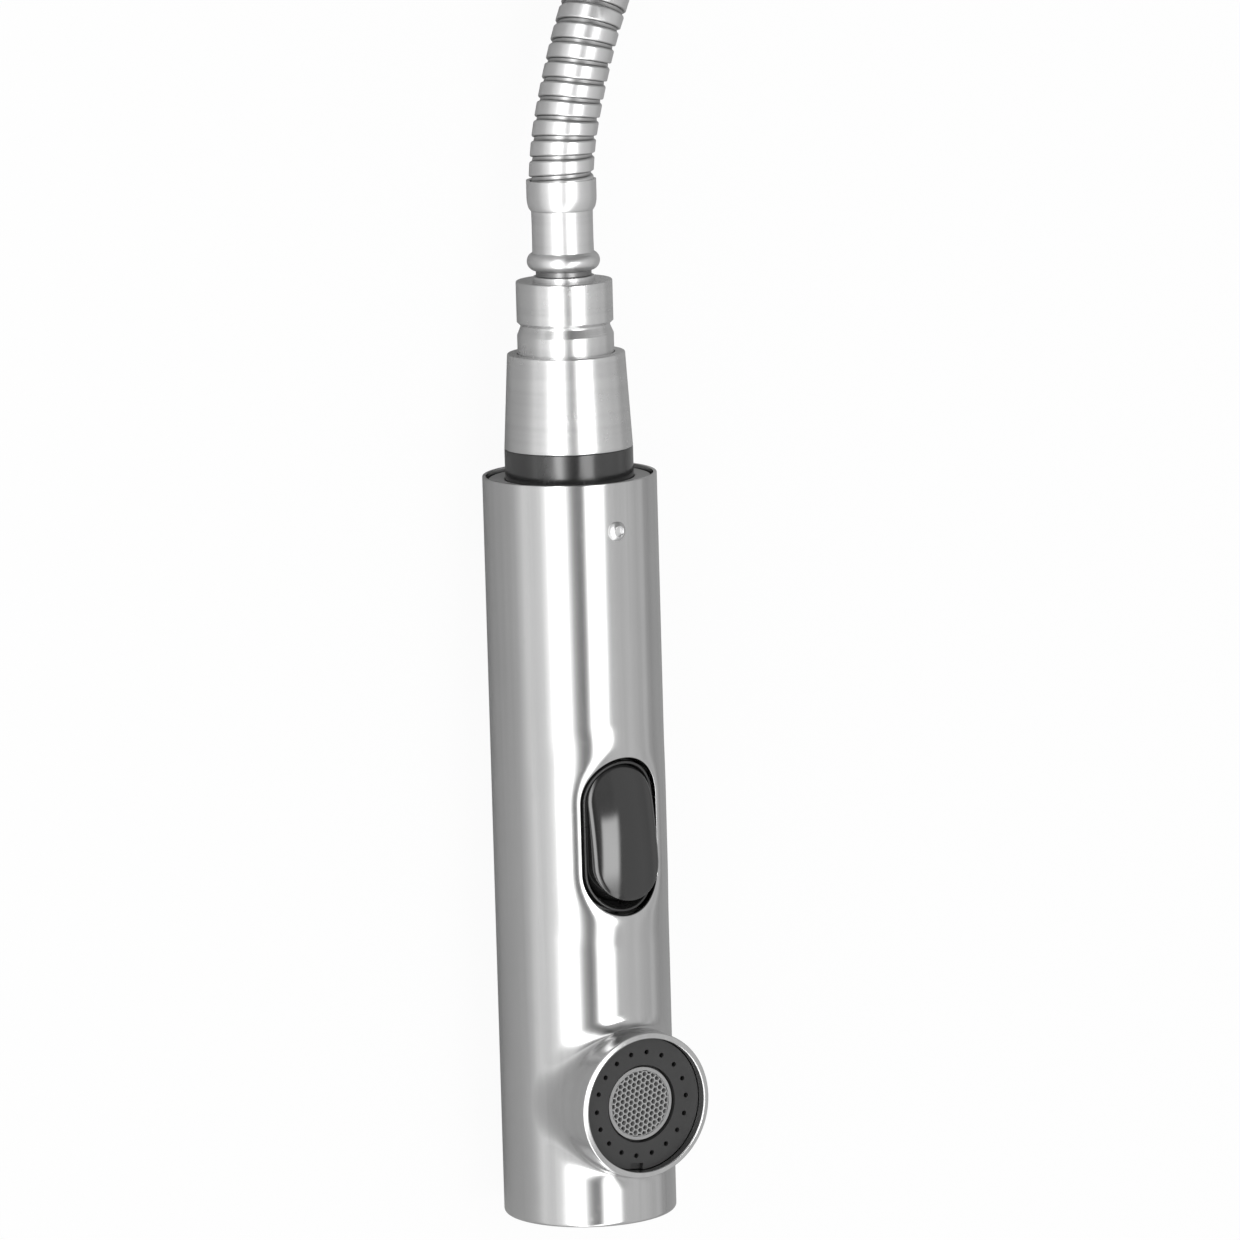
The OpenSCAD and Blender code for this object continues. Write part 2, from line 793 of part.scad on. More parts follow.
// ---------------------------------------------------------------- valve and button
module valve_body() {
    half = block_w / 2;
    color("gray")
    difference() {
        union() {
            facing(0) {
                block([-half, valve_at + seat_gap, block_low], [half, block_step, high_top]);
                block([-half, block_step - tiny, block_low], [half, valve_end, block_top]);
            }
            along(0) {
                bar(core_r, valve_at + seat_gap, valve_at + seat_gap + flange_t);
                bar(core_r, valve_end - flange_t, valve_end);
            }
        }
        along(0)
            translate([0, -spool_rise, 0])
                bar(spool_r + run_gap, spool_from - bore_gap, bore_to);
        // the gallery to the ring of nozzles and its port
        along(0)
            translate([0, -ring_rise, 0]) {
                bar(transfer_r, valve_at - over, spray_port + port_d);
                bar(transfer_seal_r + seal_gap, valve_at - over, valve_at + seal_t + 2 * seal_gap);
            }
        facing(spray_port)
            bar(port_d / 2, spool_rise, ring_rise);
        // the gallery to the aerator, the supply gallery and their ports
        along(0)
            translate([0, -gallery_rise, 0]) {
                bar(transfer_r, valve_at - over, stream_port + port_d / 2 + port_end);
                bar(transfer_seal_r + seal_gap, valve_at - over, valve_at + seal_t + 2 * seal_gap);
                bar(transfer_r, supply_port - port_d / 2 - port_end, valve_end + over);
            }
        for (port = [stream_port, supply_port])
            facing(port)
                bar(port_d / 2, gallery_rise, spool_rise);
        // room for the rocker's lever
        facing(lever_y)
            block([-room_w, -lever_r - room_front, spool_rise],
                [room_w, spool_travel + lever_r + room_back, block_top + over]);
    }
}

// The two O-rings between the valve block and the spray body.
module transfer_seals() {
    color("black")
        along(valve_at + seal_gap)
            for (rise = [ring_rise, gallery_rise])
                translate([0, -rise, 0])
                    ring_bar(transfer_seal_r, transfer_r + stack_gap, 0, seal_t);
}

module body_seal() {
    color("black")
        along(0)
            ring_bar(body_seal_r, body_seal_ri, valve_end + seal_gap, inlet_front + seal_t);
}

module button_bezel() {
    color("#1a1a1a")
        facing(button_at)
            difference() {
                intersection() {
                    slot_bar(bezel_l, bezel_w, block_top, barrel_r);
                    // its top follows the barrel's curve
                    rotate([90, 0, 0])
                        cylinder(r = barrel_r - bezel_inset, h = 2 * bezel_l + over, center = true,
                            $fn = 128);
                }
                slot_bar(bezel_in_l, bezel_in_w, block_top - over, barrel_r + over);
                translate([0, 0, pivot_rise])
                    rotate([0, 90, 0])
                        bar(pin_d / 2 + pin_gap, -bezel_w - over, bezel_w + over);
            }
}

// The rocker about its own pivot, level.
module level_rocker() {
    l = rocker_len / 2;
    w = rocker_w / 2;
    lever_low = -lever_rise;
    boss_r = pin_d / 2 + boss_wall;
    difference() {
        union() {
            intersection() {
                slot_bar(l, w, -skirt_low, crown_rise);
                translate([0, 0, crown_rise - crown_r])
                    rotate([90, 0, 0])
                        cylinder(r = crown_r, h = 2 * rocker_len, center = true, $fn = 128);
                // the skirt below the crown
                difference() {
                    slot_bar(l + over, w + over, -skirt_low - over, crown_rise + over);
                    slot_bar(l - rocker_wall, w - rocker_wall, -skirt_low - 2 * over, crown_rise - roof_t);
                }
            }
            rotate([0, 90, 0])
                bar(boss_r, -w + boss_set, w - boss_set);
            block([-lever_w, -web_t, -skirt_low], [lever_w, web_t, crown_rise - web_gap]);
            block([-lever_w, -lever_t, lever_low], [lever_w, lever_t, 0]);
            translate([0, 0, lever_low])
                rotate([0, 90, 0])
                    bar(lever_r, -lever_w, lever_w);
        }
        rotate([0, 90, 0])
            bar(pin_d / 2 + run_gap, -rocker_w, rocker_w);
    }
}

module mode_rocker() {
    color("black")
        facing(button_at)
            translate([0, 0, pivot_rise])
                rotate([-rocker_tilt, 0, 0])
                    level_rocker();
}

module rocker_pin() {
    color("silver")
        facing(button_at)
            translate([0, 0, pivot_rise])
                rotate([0, 90, 0])
                    bar(pin_d / 2, -bezel_w + pin_set, bezel_w - pin_set);
}

module diverter_spool() {
    half_lever = lever_w + air_gap;
    color("goldenrod")
    difference() {
        along(0)
            translate([0, -spool_rise, 0]) {
                bar(spool_waist_d / 2, spool_from, spool_to);
                bar(spool_r, spool_from, waist_from);
                bar(spool_r, waist_to, land_to);
                bar(spool_r, lever_y - lever_neck, spool_to);
            }
        // the slot that the lever's round tip works in
        facing(lever_y)
            block([-spool_r - over, -spool_slot, spool_rise - slot_depth],
                [spool_r + over, spool_slot, spool_rise + spool_r + over]);
        // flats beside the slot that clear the lever's shank
        facing(lever_y)
            block([-half_lever, -spool_slot - flat_l, spool_rise + flat_depth],
                [half_lever, spool_slot + flat_l, spool_rise + spool_r + over]);
        // grooves of the two seals
        along(0)
            translate([0, -spool_rise, 0])
                for (at = spool_groove_at)
                    ring_bar(spool_r + over, spool_r - spool_groove_in, at, at + spool_groove);
    }
}

module spool_seals() {
    color("black")
        along(0)
            translate([0, -spool_rise, 0])
                for (at = spool_groove_at)
                    ring_bar(spool_r - 4 * seal_gap, spool_r - spool_groove_in + seal_gap,
                        at + seal_gap, at + spool_groove - seal_gap);
}

// ---------------------------------------------------------------- inlet
module inlet_body() {
    color("#202020")
    difference() {
        along(0) {
            bar(inlet_front_r, inlet_front, inlet_front + inlet_front_t);
            bar(inlet_pipe_r, inlet_front, collar_at + tiny);
            bar(core_r, collar_at, collar_end);
            bar(neck_r, collar_end - tiny, neck_at);
            bar(thread_r, neck_at - tiny, spigot_end);
        }
        along(0) {
            bar(inlet_bore_r, inlet_front - over, shoulder_at + tiny);
            bar(plenum_r, inlet_front - over, inlet_front + plenum_t);
            ring_bar(body_seal_r + stack_gap, body_seal_ri - stack_gap,
                inlet_front - over, inlet_front + seal_t + 2 * stack_gap);
            bar(cage_r + seat_gap, shoulder_at, spigot_end + over);
        }
        facing(screw_at)
            bar(screw_d / 2 + seal_gap, barrel_r - screw_len - over, barrel_r);
    }
}

module rim_seal() {
    color("black")
        along(0)
            ring_bar(barrel_ri - seal_gap, barrel_ri - seal_gap - rim_seal_w,
                collar_end + seal_gap, collar_end + seal_gap + rim_seal_t);
}

module end_disc() {
    color("darkgray")
        along(0)
            ring_bar(barrel_ri - rim_seal_w - 2 * seal_gap, neck_r + seat_gap, disc_low, disc_top);
}

module retaining_screw() {
    r = screw_head_d / 2;
    dome = (r * r + screw_dome * screw_dome) / (2 * screw_dome);
    color("gainsboro")
        facing(screw_at)
            difference() {
                union() {
                    intersection() {
                        bar(r, barrel_r, barrel_r + screw_dome);
                        translate([0, 0, barrel_r + screw_dome - dome])
                            sphere(r = dome);
                    }
                    bar(screw_d / 2, barrel_r - screw_len, barrel_r + tiny);
                }
                translate([0, 0, barrel_r + screw_key_at])
                    linear_extrude(screw_dome)
                        circle(d = screw_key_d, $fn = 6);
            }
}

module cone_sleeve() {
    small_r = cone_small_d / 2;
    color("silver")
        along(neck_at)
            rotate_extrude()
                polygon([
                    [cone_bore_r, 0],
                    [neck_r - cone_edge, 0],
                    [neck_r, cone_edge],
                    [small_r, cone_len - edge_r],
                    [small_r - edge_r, cone_len],
                    [nut_r + seat_gap, cone_len],
                    [nut_r + seat_gap, skirt_end - neck_at],
                    [cone_bore_r, skirt_end - neck_at]
                ]);
}

module connector_nut() {
    groove_r = nut_r - groove_deep;
    groove_at = cone_end + nut_land;
    color("silver")
        along(0)
            rotate_extrude()
                polygon([
                    [nut_skirt_ri, skirt_at],
                    [nut_skirt_r, skirt_at],
                    [nut_skirt_r, skirt_end - seat_gap],
                    [nut_r, skirt_end - seat_gap],
                    [nut_r, groove_at],
                    [groove_r, groove_at + groove_slope],
                    [groove_r, groove_at + groove_slope + groove_w],
                    [nut_r, groove_at + groove_slope + groove_w + groove_rise],
                    [nut_r, nut_end - edge_r],
                    [nut_r - edge_r, nut_end],
                    [swivel_bore_r, nut_end],
                    [swivel_bore_r, cavity_end],
                    [cavity_r, cavity_end],
                    [cavity_r, nut_cavity_at],
                    [nut_skirt_ri, nut_cavity_at]
                ]);
}

// ---------------------------------------------------------------- check valve and strainer
module check_valve_cage() {
    color("white")
        along(0)
            difference() {
                bar(cage_r, cage_at, cage_end);
                bar(cage_r - cage_wall, cage_at + spider_t, cage_end - seat_t);
                bar(poppet_d / 2 - seat_lip, cage_end - seat_t - over, cage_end + over);
                bar(stem_r + run_gap, cage_at - over, cage_at + spider_t + over);
                for (a = [0:60:300])
                    rotate(a)
                        translate([cage_hole_at, 0, cage_at - over])
                            cylinder(d = cage_hole_d, h = spider_t + 2 * over, $fn = 24);
            }
}

module check_valve_poppet() {
    color("white")
        along(0) {
            bar(poppet_d / 2, poppet_top - poppet_t, poppet_top);
            bar(stem_r, cage_at - stem_proud, poppet_top - poppet_t + tiny);
        }
}

module check_valve_spring() {
    r = stem_r + spring_gap + wire_d / 2;
    low = cage_at + spider_t + wire_d / 2 + stack_gap;
    high = poppet_top - poppet_t - wire_d / 2 - stack_gap;
    color("lightgray")
        along(0)
            coil_spring(r, wire_d / 2, low, high, spring_turns);
}

module inlet_strainer() {
    cells = 4;
    color("gainsboro")
        along(strainer_at)
            linear_extrude(strainer_t)
                difference() {
                    circle(r = thread_r - stack_gap);
                    for (i = [-cells:cells], j = [-cells:cells])
                        if (norm([i, j]) < cells + 0.4)
                            translate([i, j] * strainer_pitch)
                                square(strainer_hole, center = true);
                }
}

module hose_washer() {
    color("black")
        along(hose_washer_at)
            ring_bar(thread_r - stack_gap, hose_washer_ri, 0, hose_washer_t);
}

// ---------------------------------------------------------------- hose ends
module swivel_fitting() {
    round_r = bead_len / 2;
    color("silver")
        along(0)
            difference() {
                union() {
                    bar(journal_r - tail_nose_set, tail_at, tail_at + tail_nose_t);
                    bar(tail_flange_r, tail_at + tail_nose_t - tiny, cavity_end - air_gap);
                    bar(journal_r, cavity_end - over, hose_seat);
                    bar(barb_d / 2, hose_seat - tiny, hose_seat + barb_len);
                    translate([0, 0, bead_at + round_r])
                        rotate_extrude()
                            translate([bead_r - round_r, 0])
                                circle(r = round_r);
                }
                bar(water_d / 2, tail_at - over, hose_seat + barb_len + over);
                ring_bar(journal_r + over, o_ring_ri, o_ring_at, o_ring_at + o_ring_t);
            }
}

module swivel_o_ring() {
    color("black")
        along(o_ring_at)
            ring_bar(o_ring_r, o_ring_ri + seal_gap, seal_gap, o_ring_t - seal_gap);
}

// A crimped ferrule: a cup over the hose's end with a rounded shoulder.
module ferrule() {
    r = ferrule_d / 2;
    difference() {
        rotate_extrude()
            difference() {
                square([r, ferrule_len]);
                difference() {
                    translate([r - shoulder_r, -over])
                        square([shoulder_r + over, shoulder_r + over]);
                    translate([r - shoulder_r, shoulder_r])
                        circle(r = shoulder_r);
                }
            }
        bar(journal_r + seal_gap, -over, ferrule_seat + tiny);
        bar(hose_cup_r, ferrule_seat, ferrule_len + over);
    }
}

module near_ferrule() {
    color("silver")
        along(ferrule_at)
            ferrule();
}

module far_ferrule() {
    color("silver")
        far(ferrule_seat)
            rotate([180, 0, 0])
                ferrule();
}

module far_fitting() {
    color("silver")
        far(0)
            difference() {
                union() {
                    bar(journal_r, 0, supply_seat - tiny);
                    bar(tail_flange_r, supply_flange, supply_seat);
                    bar(barb_d / 2, -barb_len, tiny);
                }
                bar(water_d / 2, -barb_len - over, supply_seat + over);
            }
}

module supply_nut() {
    thread_from = supply_at + supply_floor;
    color("silver")
        far(0)
            difference() {
                bar(supply_r, supply_at, supply_at + supply_len);
                bar(journal_r + run_gap, supply_at - over, thread_from + over);
                bar(supply_thread_d / 2, thread_from, supply_at + supply_len + over);
                bar(supply_washer_r + far_gap, thread_from, supply_seat + supply_washer_t + far_gap);
                for (i = [0:flute_count - 1])
                    rotate(360 * i / flute_count)
                        translate([supply_r + flute_out, 0, supply_at + flute_set])
                            cylinder(r = flute_r, h = supply_len - 2 * flute_set, $fn = 24);
            }
}

module supply_washer() {
    color("black")
        far(supply_seat + stack_gap)
            ring_bar(supply_washer_r, supply_washer_ri, 0, supply_washer_t);
}

// ---------------------------------------------------------------- hose
module hose_lead() {
    color("lightgray")
        ribbed_tube(lead_points, hose_sides);
}

module hose_coil() {
    color("lightgray")
        solid_tube(coil_path, hose_r, coil_sides);
}

module hose_tail() {
    color("lightgray")
        ribbed_tube(tail_points, hose_sides);
}

// The strap round the three turns of the hank, at the middle of the straight run.
module tie_outline(grow) {
    r = hose_r + air_gap + grow;
    hull() {
        translate([0, hank_low])
            circle(r = r);
        translate([0, hank_top])
            circle(r = r);
    }
}

module coil_tie() {
    color("#222222")
        translate([lead_end[0], near_y + hank_run / 2 + tie_w / 2, 0])
            rotate([90, 0, 0])
                linear_extrude(tie_w)
                    difference() {
                        tie_outline(tie_t);
                        tie_outline(0);
                    }
}

// ---------------------------------------------------------------- drawing
outer_tube();
base_cap();
spray_body();
spray_face();
face_seal();
aerator_washer();
aerator_housing();
aerator_screens();
aerator_honeycomb();
valve_body();
body_seal();
transfer_seals();
button_bezel();
mode_rocker();
rocker_pin();
diverter_spool();
spool_seals();
inlet_body();
rim_seal();
end_disc();
retaining_screw();
cone_sleeve();
connector_nut();
check_valve_cage();
check_valve_poppet();
check_valve_spring();
inlet_strainer();
hose_washer();
swivel_fitting();
swivel_o_ring();
near_ferrule();
hose_lead();
hose_coil();
hose_tail();
coil_tie();
far_ferrule();
far_fitting();
supply_nut();
supply_washer();
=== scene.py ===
# %% [markdown]
# A handheld bath sprayer lies on its back on a pale table: a steel barrel with a
# side outlet and a rocker button, a swivel connector, and a steel hose. The frame
# holds the measured solids. Here they get their skins, finishes and light.
# %% Load the frame
import math
import bmesh
import bpy
import numpy as np
from mathutils import Matrix


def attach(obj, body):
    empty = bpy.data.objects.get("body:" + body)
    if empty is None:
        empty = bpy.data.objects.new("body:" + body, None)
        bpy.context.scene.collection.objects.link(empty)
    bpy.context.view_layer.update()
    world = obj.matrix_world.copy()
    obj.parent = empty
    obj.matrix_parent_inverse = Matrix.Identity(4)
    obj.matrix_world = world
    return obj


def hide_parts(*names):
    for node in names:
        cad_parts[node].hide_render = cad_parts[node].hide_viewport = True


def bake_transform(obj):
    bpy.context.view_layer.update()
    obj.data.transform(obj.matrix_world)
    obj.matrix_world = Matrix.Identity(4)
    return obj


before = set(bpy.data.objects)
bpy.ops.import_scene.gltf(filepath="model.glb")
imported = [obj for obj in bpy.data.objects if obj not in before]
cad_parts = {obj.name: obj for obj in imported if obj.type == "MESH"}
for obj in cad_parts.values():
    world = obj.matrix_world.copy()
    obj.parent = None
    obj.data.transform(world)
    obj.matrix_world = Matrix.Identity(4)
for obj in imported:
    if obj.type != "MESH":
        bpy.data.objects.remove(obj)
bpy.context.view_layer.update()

# %% [markdown]
# The camera stands about 1.8 metres off with a long lens, so the barrel keeps
# nearly parallel sides. A long lens from far away flattens a product the way a
# studio does. A Track To constraint could aim it, but three directions, right, up
# and back from the view, also fix how it is rolled.
# %% Camera
def stand(first, second, third, centre):
    """The matrix whose columns are three directions and a centre."""
    return Matrix([*zip(first, second, third, centre), (0, 0, 0, 1)])


right = (0.84821, -0.02734, 0.52895)
upward = (0.11021, 0.98592, -0.12577)
backward = (-0.51806, 0.16497, 0.83928)
eye = (-0.9065, 0.3195, 1.5068)
camera = bpy.data.objects.new("camera", bpy.data.cameras.new("camera"))
camera.matrix_world = stand(right, upward, backward, eye)
camera.data.lens = 235.05
camera.data.sensor_width = 36
camera.data.clip_start = 0.05
camera.data.clip_end = 50
bpy.context.collection.objects.link(camera)
bpy.context.scene.camera = camera
bpy.context.scene.view_settings.view_transform = "Standard"
print("camera", camera.data.lens, "mm")

# %% [markdown]
# Every skin is a grid of points worked out from a formula. Several grids that
# share an edge are welded by place, which closes seams and poles, and faces that
# shrink to nothing at a pole drop out. The welded shell is then turned outwards.
# %% Grids into a piece
MM = 0.001  # in metres
METRE = 1000  # in mm


def weld(grids):
    """Points of several grids, in mm, their faces of four and of three corners, and
    which grid point each point came from. Points that agree to a tenth of a
    micrometre become one; a four-cornered face with two equal corners becomes a
    triangle, and one with fewer than three different corners goes."""
    points = np.concatenate([g.reshape(-1, 3) for g in grids])
    faces = []
    start = 0
    for g in grids:
        rows, columns = g.shape[:2]
        index = start + np.arange(rows * columns).reshape(rows, columns)
        corners = [index[:-1, :-1], index[:-1, 1:], index[1:, 1:], index[1:, :-1]]
        faces.append(np.stack(corners, -1).reshape(-1, 4))
        start += rows * columns
    _, first, index = np.unique(np.round(points, 4), axis=0, return_index=True, return_inverse=True)
    faces = index.reshape(-1)[np.concatenate(faces)]
    same = faces == np.roll(faces, -1, axis=1)
    whole = faces[same.sum(1) == 0]
    pinched = same.sum(1) == 1
    triangles = faces[pinched][~same[pinched]].reshape(-1, 3)
    return points[first], whole, triangles, first


def make_piece(name, grids, material, body, replaced=(), sharp=38, grime=None):
    """Welds the grids, makes the mesh in metres and hands it to the frame. A piece
    that bends between two bodies has None as its body here. Edges over sharp
    degrees stay sharp. grime is painted shade, one number per grid point,
    1 in the deepest groove."""
    points, whole, triangles, first = weld(grids)
    mesh = bpy.data.meshes.new(name)
    mesh.from_pydata(points * MM, [], whole.tolist() + triangles.tolist())
    if grime is not None:
        # The painted groove shade is kept as a point attribute for the material.
        layer = mesh.attributes.new("grime", "FLOAT", "POINT")
        layer.data.foreach_set("value", grime[first].astype(np.float32))
    mesh.validate()
    shell = bmesh.new()
    shell.from_mesh(mesh)
    bmesh.ops.recalc_face_normals(shell, faces=shell.faces)
    open_edges = sum(len(e.link_faces) != 2 for e in shell.edges)
    shell.to_mesh(mesh)
    shell.free()
    mesh.shade_smooth()
    mesh.set_sharp_from_angle(angle=math.radians(sharp))
    mesh.materials.append(material)
    thing = bpy.data.objects.new(name, mesh)
    bpy.context.collection.objects.link(thing)
    if body:
        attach(thing, body)
    if replaced:
        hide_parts(*replaced)
    print(f"{name}: {len(mesh.polygons)} faces, {open_edges} open edges")
    return thing


# %% [markdown]
# Machined parts are turned on a lathe, so their skins are an outline spun round
# an axis. Real edges are never knife sharp: each corner gets a small arc, and a
# point just before and after it keeps the flat beside it flat when it is shaded.
# A Bevel modifier rounds edges too, but here each corner needs its own radius.
# %% Rounded outlines and turned shapes
def rounded(corners, closed=False, steps=4, hold=0.07):
    """Corners (r, t, radius) as a polyline. At a corner the arc's centre lies on
    the bisector at radius / sin(half angle), and the arc meets both sides. The
    points beside it lie hold further out, if they take under 0.45 of the side."""
    table = np.array([(c + (0,))[:3] for c in corners], float)
    count = len(table)
    line = []
    for i, (r, t, radius) in enumerate(table):
        here = np.array([r, t])
        if not closed and i in (0, count - 1):
            line.append(here)
            continue
        before = table[i - 1, :2] - here
        after = table[(i + 1) % count, :2] - here
        room_a, room_b = np.linalg.norm(before), np.linalg.norm(after)
        a, b = before / room_a, after / room_b
        half = math.acos(np.clip(a @ b, -1, 1)) / 2
        reach = radius / math.tan(half) if radius else 0
        if reach + hold < 0.45 * room_a:
            line.append(here + a * (reach + hold))
        if radius:
            centre = here + (a + b) / np.linalg.norm(a + b) * radius / math.sin(half)
            from_a, from_b = here + a * reach - centre, here + b * reach - centre
            wide = math.pi - 2 * half
            for s in np.linspace(0, 1, steps + 1):
                turn = math.sin((1 - s) * wide) * from_a + math.sin(s * wide) * from_b
                line.append(centre + turn / math.sin(wide))
        else:
            line.append(here)
        if reach + hold < 0.45 * room_b:
            line.append(here + b * (reach + hold))
    if closed:
        line.append(line[0])
    return np.array(line)


CLOSED_Y = -103.2  # the barrel's closed end
AXIS_H = 19.0  # the barrel's axis above the table
X, Y, Z = np.eye(3, dtype=int)
barrel_axis = (np.array([0, CLOSED_Y, AXIS_H]), X, Z, Y)


def upright(t):
    """The axis that stands on the barrel's axis and points to the outlet's side."""
    return np.array([0, CLOSED_Y + t, AXIS_H]), X, Y, Z


def place(axis, a, b, c):
    """Carries local coordinates along the three directions of an axis."""
    origin, first, second, third = axis
    return origin + a[..., None] * first + b[..., None] * second + c[..., None] * third


def spin(axis, outline, count=96):
    """A surface of revolution: point = (r sin v, r cos v, t) for v round the axis."""
    turn = np.linspace(0, 2 * math.pi, count + 1)
    r, t = outline[:, 0, None], outline[:, 1, None]
    return place(axis, r * np.sin(turn), r * np.cos(turn), t + 0 * turn)


print("outline of a rounded step:", len(rounded([(0, 0), (5, 0, 1), (5, 4)])), "points")

# %% [markdown]
# Shader maths reads best as sums. A small class wraps a socket, and each operator
# adds its Math node. One method makes any other node from its type, its settings
# and its inputs.
# %% Shader sums
def grey(tone):
    """A neutral colour."""
    return (tone, tone, tone, 1)


class Value:
    """One output socket. Its operators add Math nodes behind it."""

    def __init__(self, sheet, socket):
        self.sheet = sheet
        self.socket = socket

    def __add__(self, other):
        return self.sheet.maths("ADD", self, other)

    __radd__ = __add__

    def __mul__(self, other):
        return self.sheet.maths("MULTIPLY", self, other)

    __rmul__ = __mul__

    def __sub__(self, other):
        return self.sheet.maths("SUBTRACT", self, other)

    def __rsub__(self, other):
        return self.sheet.maths("SUBTRACT", other, self)

    def clipped(self, low, high):
        """0 below low, 1 above high, and a soft step between."""
        settings = {"interpolation_type": "SMOOTHSTEP"}
        return self.sheet.node("MapRange", settings, {0: self, 1: low, 2: high, 3: 0, 4: 1})

    def siblings(self, *places):
        """Outputs of the same node, by their place on it."""
        return [Value(self.sheet, self.socket.node.outputs[k]) for k in places]


class Sheet:
    """A node tree being written: a material's, or the world's."""

    def __init__(self, owner):
        owner.use_nodes = True
        self.tree = owner.node_tree
        self.tree.nodes.clear()

    def node(self, kind, settings=None, inputs=None, out=0):
        """A node of a type with its settings, then its inputs: a Value is linked,
        anything else is the socket's own constant. Gives the output named by out."""
        made = self.tree.nodes.new("ShaderNode" + kind)
        for key, value in (settings or {}).items():
            if key == "stops":
                ramp = made.color_ramp
                while len(ramp.elements) < len(value):
                    ramp.elements.new(0.5)
                for element, (position, tone) in zip(ramp.elements, value):
                    element.position = position
                    element.color = grey(tone)
            else:
                setattr(made, key, value)
        for key, value in (inputs or {}).items():
            if isinstance(value, Value):
                self.tree.links.new(value.socket, made.inputs[key])
            else:
                made.inputs[key].default_value = value
        return Value(self, made.outputs[out]) if len(made.outputs) else None

    def maths(self, operation, *terms):
        """A Math node of numbers and Values."""
        return self.node("Math", {"operation": operation}, dict(enumerate(terms)))

    def blend(self, factor, low, high, kind="MIX"):
        """A colour between low and high, or what another kind of blend makes of them."""
        settings = {"data_type": "RGBA", "blend_type": kind}
        return self.node("Mix", settings, {0: factor, 6: low, 7: high}, 2)


def noise(sheet, scale, detail=3, rough=0.5):
    """Noise on Object coordinates. A scale per direction, in cells per metre,
    stretches it into streaks."""
    where = sheet.node("TexCoord", out=3)
    cell = tuple(1 / s for s in scale)
    where = sheet.node("Mapping", {"vector_type": "TEXTURE"}, {"Vector": where, "Scale": cell})
    return sheet.node("TexNoise", None, {"Vector": where, "Scale": 1, "Detail": detail, "Roughness": rough})


def bump(sheet, height, distance):
    """A Bump node: height times distance, in metres."""
    return sheet.node("Bump", None, {"Strength": 1.0, "Distance": distance, "Height": height})


def new_sheet(name):
    """A new material and its node tree."""
    material = bpy.data.materials.new(name)
    return material, Sheet(material)


def finish_with(name, sheet, surface):
    """Closes a material's node tree with its surface."""
    sheet.node("OutputMaterial", None, {"Surface": surface})
    print("finish", name, len(sheet.tree.nodes), "nodes")


# %% [markdown]
# Steel is a mirror with fine scratches. Brushing runs along the barrel and round
# the turned parts, so the same noise is stretched one way or the other: it tilts
# the surface a little and changes the roughness, and a slow noise adds smudges.
# The Anisotropic input of the shader would smear reflections too, but evenly;
# noise also shows single scratches. Brass is the same metal with a tint.
# %% Steels
def steel(name, tone, rough, streaks, depth=1.2e-6, smudge=0.05, grime=0.0, tint=None):
    """Metallic finish. streaks are noise cells per metre along X, Y and Z, depth is
    how deep the scratches are in metres, smudge how far the tone drifts, and
    grime how much painted shade darkens the mesh's grooves."""
    material, sheet = new_sheet(name)
    line = noise(sheet, streaks, 4, 0.6)
    broad = noise(sheet, tuple(s / 5 for s in streaks))
    cloud = noise(sheet, (90, 60, 90))
    speck = noise(sheet, (900, 500, 900), 2)
    worn = speck.clipped(0.62, 0.74) * cloud.clipped(0.45, 0.6)
    colour = sheet.blend(cloud, grey(tone - smudge), grey(tone + smudge * 0.5))
    darker = line * 0.25 + broad.clipped(0.4, 0.66) * 0.3 + worn * 0.125
    colour = sheet.blend(darker, colour, grey(tone * 0.82))
    if grime:
        # Painted shade: the grooves are darkened towards 0.06 by the mesh's per-point groove attribute.
        groove = sheet.node("Attribute", {"attribute_name": "grime"}, out=2)
        colour = sheet.blend(groove * grime, colour, grey(0.06))
    if tint:
        colour = sheet.blend(1.0, colour, tint, "MULTIPLY")
    surface = sheet.node("BsdfPrincipled", None, {
        "Base Color": colour,
        "Metallic": 1.0,
        "Roughness": rough - 0.03 + line * 0.06 + worn * 0.06,
        "Normal": bump(sheet, line + cloud * 0.4, depth)})
    finish_with(name, sheet, surface)
    return material


brushed_steel = steel("brushed_steel", 0.67, 0.17, (2600, 30, 2600))
turned_steel = steel("turned_steel", 0.76, 0.26, (40, 2400, 40), depth=5e-7)
# Satin steel and hose steel take painted shade in their grooves.
satin_steel = steel("satin_steel", 0.8, 0.33, (60, 2000, 60), grime=0.7)
end_steel = steel("end_steel", 0.62, 0.26, (500, 500, 500), smudge=0.04)
polished_steel = steel("polished_steel", 0.8, 0.33, (300, 900, 300), depth=6e-7, smudge=0.03)
hose_steel = steel("hose_steel", 0.82, 0.34, (700, 700, 700), depth=9e-7, grime=0.6)
spring_steel = steel("spring_steel", 0.6, 0.25, (1500, 1500, 1500), depth=4e-7)
brass = steel("brass", 0.6, 0.24, (60, 2500, 60), tint=(1.0, 0.78, 0.4, 1))

# %% [markdown]
# The black and grey parts are moulded: a colour that drifts very slightly, a fine
# grain, and faint handling marks that dull the gloss in patches. A flat colour
# with one roughness would do from far off, and look like a drawing close by.
# %% Plastics and rubber
def moulded(name, tone, rough, grain, depth, ior=1.5, drift=0.15, dull=0.12):
    """Plastic or rubber: grain is noise cells per metre, depth its height in metres,
    drift how far the tone wanders, and dull how much rougher a handled patch is."""
    material, sheet = new_sheet(name)
    fine = noise(sheet, (grain, grain, grain), 2)
    cloud = noise(sheet, (160, 110, 160), 4)
    low, high = grey(tone * (1 - drift)), grey(tone * (1 + drift))
    surface = sheet.node("BsdfPrincipled", None, {
        "Base Color": sheet.blend(cloud * 0.7 + fine * 0.3, low, high),
        "Roughness": rough + cloud.clipped(0.5, 0.75) * dull + fine * 0.04,
        "IOR": ior,
        "Normal": bump(sheet, fine, depth)})
    finish_with(name, sheet, surface)
    return material


